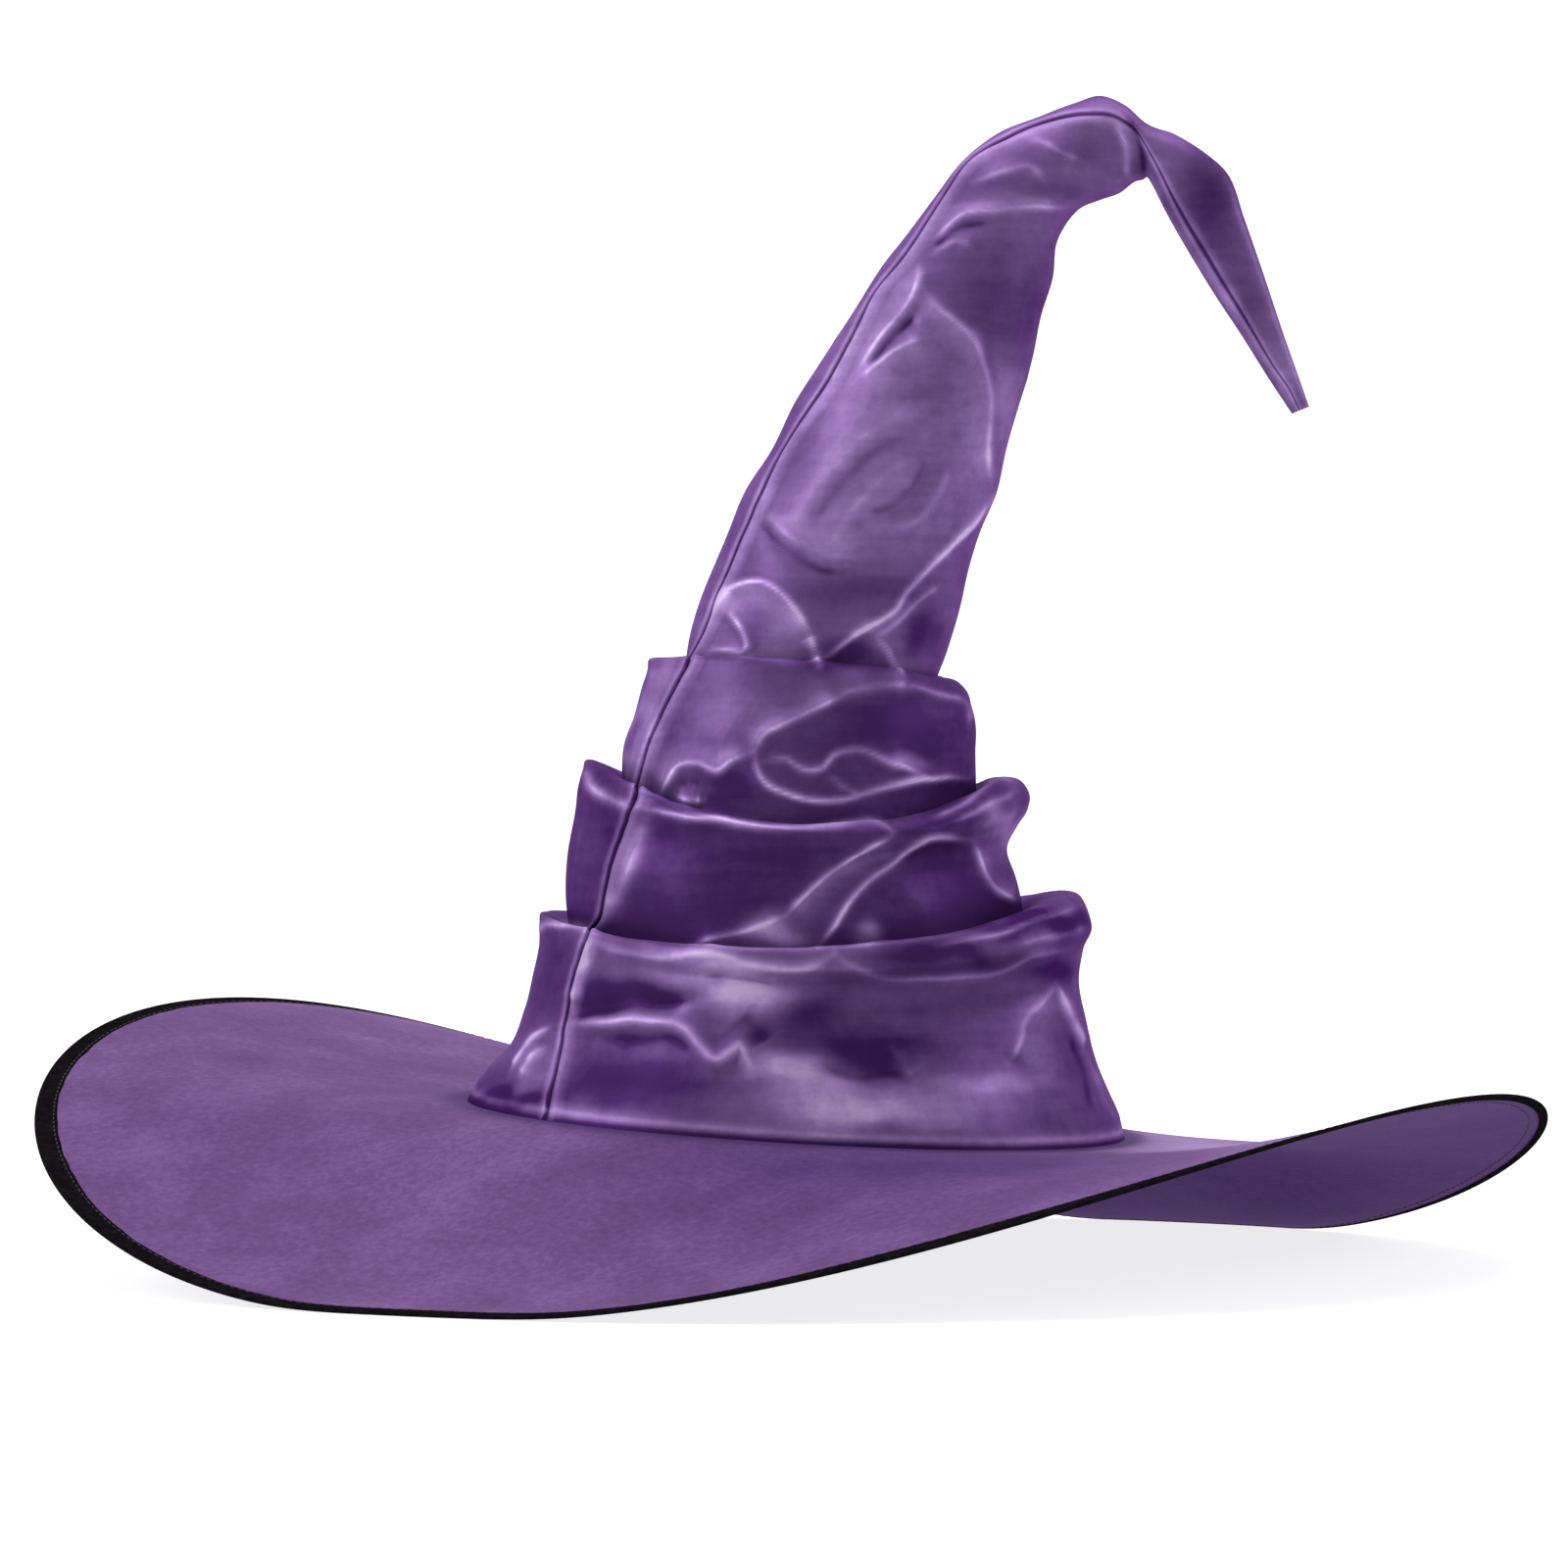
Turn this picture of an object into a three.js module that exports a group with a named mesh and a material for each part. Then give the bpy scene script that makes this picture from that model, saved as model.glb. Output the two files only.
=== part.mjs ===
// A wide-brimmed pointed costume hat of satin, standing on its brim.
// Lengths are in millimetres. +Z is up, +X runs to the right of the viewer and -Y is the viewer's side.
// The origin is on the surface that the hat stands on, under the middle of the brim.
// Headings go anticlockwise from +X, seen from above, in degrees.
import * as THREE from "three";

// Brim
const brimWidth = 445; // left to right, over the binding
const brimDepth = 440; // viewer's side to far side, over the binding
const brimMeanHeight = 32.8; // the edge's middle line, averaged all round
const brimSaddleRise = 32.9; // rise of the two lifted sides, and fall of the two dipped ones
const brimSaddleHeading = 146.9; // of one lifted side; the other is opposite
const brimLean = 9.9; // how much higher the far left hangs than the near right
const brimLeanHeading = 141;
const brimWave = 1.8; // a slight three-fold wave in the edge
const brimWaveHeading = 115;
const brimSweep = 1.5; // above 1 the brim leaves the seat flat and steepens outwards
const brimThickness = 1.2;
const clothGap = 0.3; // between pieces that lie on each other
const restBlend = 1.4; // how softly the dipped edge flattens where it rests

// Binding folded over the brim's edge
const bindingThickness = 1;
const bindingTopWidth = 8;
const bindingUnderWidth = 3.5;
const restFlat = 0.3; // where its underside would hang less than this above the rest, it is pressed flat

// Seat: the plane on top of the brim that the crown is sewn down on
const seatHeight = 43;
const seatFallRight = 0.058; // millimetres down for each millimetre to the right
const seatFallFront = 0.027; // and for each millimetre towards the viewer
const seatMargin = 4; // flat brim left outside the crown's hem
const seatLedge = 2; // brim left inside the crown's wall, round the head opening

// Crown
const crownBaseWidth = 194.3; // over the hem, left to right
const crownBaseDepth = 188; // over the hem, front to back
const crownHeight = 301; // from the seat to about the top of the bend
const crownShift = 1.5; // of the crown's middle to the right of the brim's
const crownClothThickness = 1.6;
const foldRelief = 3.2; // height of the boldest fold on the crown's cloth

// How finely the surfaces are faceted
const crownSides = 44;
const brimSides = 60;
const brimBands = 4; // from the seat to the binding

const halfBaseWidth = crownBaseWidth / 2;
const halfBaseDepth = crownBaseDepth / 2;

// The crown's cross-sections, from the hem to the tip. Each is an ellipse between a left and a right point.
// left, right and forward are shares of half the base width, and depth is a share of half the base depth.
// The heights and sag are shares of the crown's height above the seat. Sag lowers the front and the back.
const crownSections = [
  // name, left, leftUp, right, rightUp, depth, sag, forward
  ["hem_foot", -0.968, 0.0, 0.98, 0.0, 0.972, 0.0, 0.0],
  ["hem_edge", -1.0, 0.01, 1.0, 0.01, 0.994, 0.0, 0.0],
  ["hem_rise", -0.931, 0.033, 0.967, 0.03, 0.96, 0.0, 0.0],
  ["skirt_low", -0.869, 0.055, 0.919, 0.064, 0.92, 0.0, 0.0],
  ["skirt_mid", -0.824, 0.091, 0.881, 0.106, 0.886, 0.006, 0.0],
  ["waist_one", -0.8, 0.13, 0.857, 0.155, 0.861, 0.016, 0.0],
  ["tuck1_under", -0.785, 0.157, 0.872, 0.184, 0.867, 0.024, 0.0],
  ["tuck1_edge", -0.782, 0.173, 0.899, 0.206, 0.889, 0.029, 0.0],
  ["tuck1_crest", -0.752, 0.182, 0.86, 0.235, 0.864, 0.032, 0.0],
  ["tuck1_inner", -0.71, 0.18, 0.776, 0.232, 0.809, 0.033, 0.0],
  ["tuck1_groove", -0.69, 0.173, 0.699, 0.226, 0.759, 0.033, 0.0],
  ["wall2_low", -0.701, 0.204, 0.666, 0.248, 0.741, 0.026, 0.0],
  ["wall2_mid", -0.693, 0.246, 0.639, 0.276, 0.716, 0.022, 0.0],
  ["wall2_high", -0.672, 0.287, 0.669, 0.3, 0.701, 0.027, 0.0],
  ["tuck2_under", -0.663, 0.312, 0.701, 0.318, 0.707, 0.03, 0.0],
  ["tuck2_edge", -0.645, 0.329, 0.701, 0.332, 0.704, 0.033, 0.0],
  ["tuck2_crest", -0.612, 0.338, 0.663, 0.341, 0.67, 0.034, 0.0],
  ["tuck2_inner", -0.567, 0.336, 0.597, 0.343, 0.627, 0.034, 0.0],
  ["tuck2_groove", -0.537, 0.33, 0.549, 0.342, 0.586, 0.034, 0.0],
  ["wall3_low", -0.522, 0.357, 0.543, 0.369, 0.568, 0.02, 0.0],
  ["wall3_mid", -0.49, 0.384, 0.543, 0.394, 0.543, 0.006, 0.0],
  ["wall3_high", -0.469, 0.41, 0.528, 0.413, 0.525, -0.004, 0.0],
  ["tuck3_edge", -0.451, 0.427, 0.513, 0.428, 0.512, -0.009, 0.0],
  ["tuck3_crest", -0.427, 0.437, 0.472, 0.436, 0.481, -0.01, 0.0],
  ["tuck3_inner", -0.379, 0.434, 0.43, 0.437, 0.444, -0.01, 0.0],
  ["tuck3_groove", -0.346, 0.429, 0.409, 0.436, 0.414, -0.01, 0.0],
  ["cone_01", -0.331, 0.455, 0.454, 0.464, 0.401, -0.004, 0.0],
  ["cone_02", -0.299, 0.496, 0.499, 0.509, 0.395, 0.0, 0.0],
  ["cone_03", -0.251, 0.535, 0.528, 0.55, 0.389, 0.0, 0.0],
  ["cone_04", -0.2, 0.575, 0.564, 0.589, 0.38, 0.0, 0.0],
  ["cone_05", -0.152, 0.614, 0.612, 0.629, 0.373, 0.0, 0.0],
  ["cone_06", -0.072, 0.656, 0.639, 0.668, 0.358, 0.0, 0.0],
  ["cone_07", 0.0, 0.704, 0.681, 0.715, 0.34, 0.0, 0.0],
  ["cone_08", 0.084, 0.748, 0.719, 0.76, 0.321, 0.0, 0.0],
  ["cone_09", 0.173, 0.794, 0.746, 0.801, 0.296, 0.0, 0.0],
  ["cone_10", 0.257, 0.838, 0.782, 0.84, 0.272, 0.0, 0.0],
  ["cone_11", 0.34, 0.874, 0.791, 0.871, 0.247, 0.0, 0.0],
  ["cone_12", 0.427, 0.913, 0.818, 0.891, 0.228, 0.0, 0.0],
  ["cone_13", 0.516, 0.95, 0.866, 0.909, 0.204, 0.0, 0.0],
  ["cone_14", 0.621, 0.979, 0.925, 0.918, 0.176, 0.0, 0.0],
  ["cone_15", 0.734, 0.996, 0.985, 0.926, 0.148, 0.0, 0.0],
  ["cone_16", 0.848, 1.012, 1.032, 0.938, 0.127, 0.0, 0.01],
  ["bend_top", 0.93, 1.02, 1.055, 0.94, 0.111, 0.0, 0.03],
  ["bend_crease", 1.0, 1.011, 1.066, 0.942, 0.093, 0.0, 0.06],
  ["tip_01", 1.052, 0.996, 1.076, 0.936, 0.078, 0.0, 0.09],
  ["tip_02", 1.148, 0.984, 1.115, 0.91, 0.07, 0.0, 0.12],
  ["tip_03", 1.242, 0.966, 1.159, 0.884, 0.064, 0.0, 0.14],
  ["tip_04", 1.308, 0.946, 1.215, 0.854, 0.058, 0.0, 0.15],
  ["tip_05", 1.354, 0.905, 1.27, 0.826, 0.05, 0.0, 0.16],
  ["tip_06", 1.412, 0.851, 1.331, 0.797, 0.041, 0.0, 0.17],
  ["tip_07", 1.47, 0.795, 1.387, 0.769, 0.033, 0.0, 0.18],
  ["tip_08", 1.518, 0.752, 1.438, 0.744, 0.026, 0.0, 0.18],
  ["tip_end", 1.548, 0.725, 1.496, 0.717, 0.016, 0.0, 0.18],
];
const cavityEnd = "tip_04"; // past this section the sewn tip is filled by its seam allowances

// The crown's main folds. Each runs from start to end past a point that pulls it sideways, as seen from the front.
// across is a share of half the base width, up a share of the crown's height, width a share of half the
// base width, and relief a share of the boldest fold: above 0 it is a ridge, below 0 a dent.
const crownFolds = [
  // side, across and up of start, pull and end, width, relief
  ["front", -0.66, 0.09, -0.25, 0.12, -0.02, 0.03, 0.1, 0.6],
  ["front", 0.78, 0.14, 0.55, 0.1, 0.62, 0.03, 0.1, 0.6],
  ["front", 0.06, 0.07, 0.25, 0.05, 0.4, 0.06, 0.11, -0.7],
  ["front", 0.31, 0.29, 0.0, 0.2, -0.3, 0.18, 0.08, 0.8],
  ["front", 0.54, 0.29, 0.2, 0.28, 0.1, 0.17, 0.08, 0.8],
  ["front", 0.2, 0.42, -0.5, 0.36, 0.12, 0.31, 0.08, 0.7],
  ["front", 0.12, 0.31, 0.3, 0.31, 0.5, 0.35, 0.08, 0.7],
  ["front", -0.26, 0.5, -0.08, 0.56, 0.06, 0.45, 0.08, 0.9],
  ["front", 0.08, 0.45, 0.35, 0.49, 0.57, 0.63, 0.09, 1.0],
  ["front", 0.4, 0.84, 0.66, 0.76, 0.56, 0.65, 0.09, 0.8],
  ["front", 0.4, 0.88, 0.52, 0.92, 0.8, 0.92, 0.08, 0.8],
  ["back", -0.6, 0.1, 0.0, 0.05, 0.6, 0.12, 0.11, 0.7],
  ["back", -0.5, 0.28, 0.0, 0.22, 0.3, 0.19, 0.09, 0.8],
  ["back", -0.3, 0.4, 0.1, 0.38, 0.4, 0.34, 0.09, 0.7],
  ["back", 0.4, 0.5, 0.1, 0.5, -0.1, 0.6, 0.09, 0.9],
  ["back", 0.1, 0.66, 0.5, 0.7, 0.62, 0.8, 0.09, 0.8],
];
const foldSteps = 10; // straight steps that each fold's curve is measured by
const foldFade = 0.2; // share of a fold's length over which it fades out at each end
const foldSideStart = 0.1; // a fold starts where the cloth turns this far to its side, as a sine,
const foldSideFull = 0.6; // and is whole from here

const turn = 2 * Math.PI;
const radians = THREE.MathUtils.degToRad;

function seatPlane(x, y) {
  return seatHeight - seatFallRight * (x - crownShift) + seatFallFront * y;
}

// Crown

// Turns a row of the table into millimetres.
function crownSection([name, left, leftUp, right, rightUp, depth, sag, forward]) {
  return {
    name,
    left: new THREE.Vector2(left * halfBaseWidth, leftUp * crownHeight),
    right: new THREE.Vector2(right * halfBaseWidth, rightUp * crownHeight),
    depth: depth * halfBaseDepth,
    sag: sag * crownHeight,
    forward: forward * halfBaseWidth,
  };
}

const sections = crownSections.map(crownSection);

// A point of a section: angle 0 is its right point, and three quarters of a turn its front.
function sectionPoint(section, angle) {
  const { left, right } = section;
  const towardsRight = (1 + Math.cos(angle)) / 2;
  const across = THREE.MathUtils.lerp(left.x, right.x, towardsRight);
  const up = THREE.MathUtils.lerp(left.y, right.y, towardsRight) - section.sag * Math.sin(angle) ** 2;
  const x = crownShift + across;
  const y = section.depth * Math.sin(angle) - section.forward;
  return new THREE.Vector3(x, y, seatPlane(x, y) + clothGap + up);
}

function foldCurve([side, startX, startUp, pullX, pullUp, endX, endUp, width, relief]) {
  const place = (across, up) => new THREE.Vector2(across * halfBaseWidth, up * crownHeight);
  const curve = new THREE.QuadraticBezierCurve(
    place(startX, startUp),
    place(pullX, pullUp),
    place(endX, endUp),
  );
  return {
    facing: side === "front" ? -1 : 1,
    points: curve.getPoints(foldSteps),
    width: width * halfBaseWidth,
    relief: relief * foldRelief,
  };
}

// How far a fold lifts the cloth at a place in the front view, on the side that the angle faces.
function foldLift(fold, place, angle) {
  const onSide = THREE.MathUtils.smoothstep(fold.facing * Math.sin(angle), foldSideStart, foldSideFull);
  let nearest = Infinity;
  let along = 0;
  fold.points.forEach((point, i) => {
    const distance = point.distanceTo(place);
    if (distance < nearest) {
      nearest = distance;
      along = i / foldSteps;
    }
  });
  const fade =
    THREE.MathUtils.smoothstep(along, -foldFade, foldFade) *
    THREE.MathUtils.smoothstep(1 - along, -foldFade, foldFade);
  return onSide * fade * fold.relief * Math.exp(-((nearest / fold.width) ** 2));
}

// The unit normals of a run of rings that share their angles.
function ringNormals(rings) {
  return rings.map((ring, i) => {
    const before = rings[Math.max(i - 1, 0)];
    const after = rings[Math.min(i + 1, rings.length - 1)];
    return ring.map((_, j) => {
      const next = ring[(j + 1) % ring.length];
      const last = ring[(j + ring.length - 1) % ring.length];
      const around = next.clone().sub(last);
      const upwards = after[j].clone().sub(before[j]);
      return around.cross(upwards).normalize();
    });
  });
}

function shifted(rings, normals, distance) {
  return rings.map((ring, i) =>
    ring.map((point, j) => point.clone().addScaledVector(normals[i][j], distance(i, j))),
  );
}

// Outer face of the crown's cloth, ring by ring from the hem to the tip.
function crownOuterRings() {
  const angles = Array.from({ length: crownSides }, (_, j) => (turn * j) / crownSides);
  const smooth = sections.map((section) => angles.map((angle) => sectionPoint(section, angle)));
  const folds = crownFolds.map(foldCurve);
  const lift = (i, j) => {
    if (sections[i].name === "hem_foot") return 0;
    const point = smooth[i][j];
    const place = new THREE.Vector2(point.x - crownShift, point.z - seatPlane(point.x, point.y));
    return folds.reduce((sum, fold) => sum + foldLift(fold, place, angles[j]), 0);
  };
  return shifted(smooth, ringNormals(smooth), lift);
}

// Inner face of the cloth, from the hem up into the cone. At the hem it ends level with the foot.
function crownInnerRings(outer, cavityRings) {
  const normals = ringNormals(outer);
  const foot = normals[0].map((normal) => new THREE.Vector3(normal.x, normal.y, 0).normalize());
  normals[0] = foot;
  return shifted(outer, normals, () => -crownClothThickness).slice(0, cavityRings);
}

function middle(ring) {
  const sum = new THREE.Vector3();
  ring.forEach((point) => sum.add(point));
  return sum.divideScalar(ring.length);
}

// Closed surface through rings of equal count, with a pole closing the first and the last ring.
function cappedSurface(rings) {
  const sides = rings[0].length;
  const points = [...rings.flat(), middle(rings[0]), middle(rings.at(-1))];
  const firstPole = points.length - 2;
  const lastPole = points.length - 1;
  const lastStart = (rings.length - 1) * sides;
  const index = [];
  for (let j = 0; j < sides; j++) {
    const next = (j + 1) % sides;
    index.push(firstPole, next, j);
    index.push(lastPole, lastStart + j, lastStart + next);
    for (let i = 0; i < rings.length - 1; i++) {
      const low = i * sides;
      const high = low + sides;
      index.push(low + j, low + next, high + next);
      index.push(low + j, high + next, high + j);
    }
  }
  return new THREE.BufferGeometry().setFromPoints(points).setIndex(index);
}

function crownGeometry() {
  const outer = crownOuterRings();
  const cavityRings = sections.findIndex((section) => section.name === cavityEnd) + 1;
  const inner = crownInnerRings(outer, cavityRings);
  return cappedSurface([...inner.reverse(), ...outer]);
}

// Brim

const footSection = sections.find((section) => section.name === "hem_foot");
const hemSection = sections.find((section) => section.name === "hem_edge");

// Height of the brim's middle surface along its edge, before it settles on the surface that it rests on.
function freeEdgeHeight(heading) {
  return (
    brimMeanHeight +
    brimSaddleRise * Math.cos(2 * (heading - radians(brimSaddleHeading))) +
    brimLean * Math.cos(heading - radians(brimLeanHeading)) +
    brimWave * Math.cos(3 * (heading - radians(brimWaveHeading)))
  );
}

// From the brim's middle surface to the inside and the outside of the binding.
const halfBindingInside = brimThickness / 2 + clothGap;
const halfBindingHeight = halfBindingInside + bindingThickness;

function edgeHeight(heading) {
  const above = freeEdgeHeight(heading) - halfBindingHeight;
  return halfBindingHeight + Math.max((above + Math.hypot(above, restBlend)) / 2 - restBlend / 4, 0);
}

// The brim's edge: an ellipse about the origin.
function edgePoint(heading) {
  const reach = 1 / Math.hypot((2 * Math.cos(heading)) / brimWidth, (2 * Math.sin(heading)) / brimDepth);
  return new THREE.Vector2(reach * Math.cos(heading), reach * Math.sin(heading));
}

// A point on an ellipse that lies outside a section of the crown by an offset, or inside it below 0.
function besideSection(section, heading, offset) {
  const x = crownShift + (section.right.x + offset) * Math.cos(heading);
  return new THREE.Vector2(x, (section.depth + offset) * Math.sin(heading));
}

// A point of the brim's middle surface: share 0 is on the outside of the seat and share 1 at the edge.
// Where the edge falls below the seat's plane, the brim flattens again towards it.
function brimPoint(heading, share) {
  const edge = edgePoint(heading);
  const place = besideSection(hemSection, heading, seatMargin).lerp(edge, share);
  const fall = seatPlane(edge.x, edge.y) - edgeHeight(heading);
  const flattening = brimSweep * THREE.MathUtils.smoothstep(fall, 0, brimSaddleRise);
  const swing = share ** brimSweep * (1 + flattening * (1 - share));
  const seat = seatPlane(place.x, place.y) - brimThickness / 2;
  return new THREE.Vector3(place.x, place.y, THREE.MathUtils.lerp(seat, edgeHeight(heading), swing));
}

// Share of the brim's span at the binding's inner line.
function bindingShare(heading) {
  const seat = besideSection(hemSection, heading, seatMargin);
  return 1 - bindingTopWidth / seat.distanceTo(edgePoint(heading));
}

// A point of the brim's middle surface at a distance in from its edge, where the binding keeps it straight.
function rimPoint(heading, inward, rise) {
  const inner = brimPoint(heading, bindingShare(heading));
  const point = brimPoint(heading, 1).lerp(inner, inward / bindingTopWidth);
  const height = point.z + rise;
  return new THREE.Vector3(point.x, point.y, height < restFlat ? 0 : height);
}

// Closed surface through cross-sections that are themselves closed, all round the brim. Every four-sided
// facet is split from its inner corner here to its outer corner there, so that pieces lying on each other
// keep their gap.
function ringSurface(crossSections) {
  const count = crossSections[0].length;
  const index = [];
  crossSections.forEach((corners, i) => {
    const here = i * count;
    const there = ((i + 1) % crossSections.length) * count;
    corners.forEach((corner, j) => {
      const next = (j + 1) % count;
      const outwards = Math.hypot(corners[next].x, corners[next].y) > Math.hypot(corner.x, corner.y);
      if (outwards) {
        index.push(here + j, there + j, there + next);
        index.push(here + j, there + next, here + next);
      } else {
        index.push(here + j, there + j, here + next);
        index.push(here + next, there + j, there + next);
      }
    });
  });
  return new THREE.BufferGeometry().setFromPoints(crossSections.flat()).setIndex(index);
}

// The brim's middle line along one heading, from the head opening out to inside the binding.
function brimLine(heading) {
  const hole = besideSection(footSection, heading, -crownClothThickness - seatLedge);
  const line = [new THREE.Vector3(hole.x, hole.y, seatPlane(hole.x, hole.y) - brimThickness / 2)];
  for (let band = 0; band < brimBands; band++) {
    line.push(brimPoint(heading, (bindingShare(heading) * band) / brimBands));
  }
  line.push(rimPoint(heading, bindingTopWidth, 0));
  line.push(rimPoint(heading, bindingThickness + clothGap, 0));
  return line;
}

function brimSection(heading) {
  const line = brimLine(heading);
  const raised = (rise) => line.map((point) => new THREE.Vector3(point.x, point.y, point.z + rise));
  return [...raised(-brimThickness / 2), ...raised(brimThickness / 2).reverse()];
}

// The binding is folded over the edge, wide on top and narrow underneath.
function bindingSection(heading) {
  const inside = halfBindingInside;
  const outside = halfBindingHeight;
  return [
    rimPoint(heading, bindingUnderWidth, -outside),
    rimPoint(heading, bindingThickness / 2, -outside),
    rimPoint(heading, 0, -inside / 2),
    rimPoint(heading, 0, inside / 2),
    rimPoint(heading, bindingThickness / 2, outside),
    rimPoint(heading, bindingTopWidth, outside),
    rimPoint(heading, bindingTopWidth, inside),
    rimPoint(heading, bindingThickness, inside),
    rimPoint(heading, bindingThickness, -inside),
    rimPoint(heading, bindingUnderWidth, -inside),
  ];
}

function aroundBrim(crossSection) {
  const headings = Array.from({ length: brimSides }, (_, i) => (turn * i) / brimSides);
  return ringSurface(headings.map(crossSection));
}

// Materials and assembly

function cloth(color, roughness) {
  return new THREE.MeshStandardMaterial({ color, roughness, metalness: 0, side: THREE.DoubleSide });
}

const crownSatin = cloth(0x5a3478, 0.35);
const brimSatin = cloth(0x6b4a86, 0.55);
const bindingTape = cloth(0x151315, 0.7);

function piece(name, geometry, material) {
  geometry.computeVertexNormals();
  const mesh = new THREE.Mesh(geometry, material);
  mesh.name = name;
  return mesh;
}

const hat = new THREE.Group();
hat.add(
  piece("crown", crownGeometry(), crownSatin),
  piece("brim", aroundBrim(brimSection), brimSatin),
  piece("brim_binding", aroundBrim(bindingSection), bindingTape),
);

export default hat;
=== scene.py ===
"""A wide-brimmed pointed costume hat of purple satin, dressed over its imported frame.

The crown is one sewn shell with a seam, three tucks and the folds that stuffing and handling left in it.
The brim, the tape bound over its edge and the tape's stitches all follow one rule for the brim's surface.
Lengths are in metres. +Z is up, +X runs to the viewer's right and -Y is the viewer's side.
Headings go anticlockwise from +X, seen from above.
"""

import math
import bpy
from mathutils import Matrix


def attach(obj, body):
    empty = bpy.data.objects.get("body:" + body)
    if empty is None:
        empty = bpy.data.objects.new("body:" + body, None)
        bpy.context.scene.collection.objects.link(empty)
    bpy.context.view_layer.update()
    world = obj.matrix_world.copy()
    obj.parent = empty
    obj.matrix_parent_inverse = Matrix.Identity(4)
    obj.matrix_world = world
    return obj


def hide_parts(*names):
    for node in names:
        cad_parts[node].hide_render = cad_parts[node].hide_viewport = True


bl_info = {
    "name": "Satin Witch Hat",
    "version": (1, 0, 0),
    "blender": (4, 5, 0),
    "location": "3D View > Sidebar > Witch Hat",
    "description": "Builds a crumpled satin witch hat over its packed frame",
    "category": "Add Mesh",
}

import bmesh
import bpy
import numpy as np
from bpy.props import FloatProperty, FloatVectorProperty, IntProperty, PointerProperty
from mathutils import Vector, noise

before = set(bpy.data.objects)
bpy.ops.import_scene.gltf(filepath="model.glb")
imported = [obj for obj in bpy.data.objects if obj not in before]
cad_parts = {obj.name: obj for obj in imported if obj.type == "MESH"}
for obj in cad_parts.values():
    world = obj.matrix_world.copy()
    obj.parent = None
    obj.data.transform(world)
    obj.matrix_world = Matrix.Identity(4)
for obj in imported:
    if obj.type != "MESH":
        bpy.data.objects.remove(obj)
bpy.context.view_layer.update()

MM = 0.001
TURN = 2 * math.pi

# The picture that the folds were drawn in, and the camera that took it.
PICTURE_SIZE = 1600
CAMERA_PLACE = Vector((-0.0021, -1.933, 0.1417))
CAMERA_LENS = 150  # millimetres
CAMERA_SENSOR = 36  # millimetres
PICTURE_FOCAL = PICTURE_SIZE * CAMERA_LENS / CAMERA_SENSOR

LIGHTS = (
    # name, place, aimed at, size in metres, watts
    ("light_above", (0.0, 0.1, 1.7), (0, 0, 0.1), 1.6, 26),
    ("light_left", (-1.5, -0.5, 1.0), (0, 0, 0.15), 0.9, 16),
    ("light_right", (1.6, -0.2, 0.9), (0, 0, 0.15), 0.7, 9),
    ("light_back", (0, 1.4, 1.2), (0, 2.2, 0.5), 1.6, 30),
)

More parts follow.
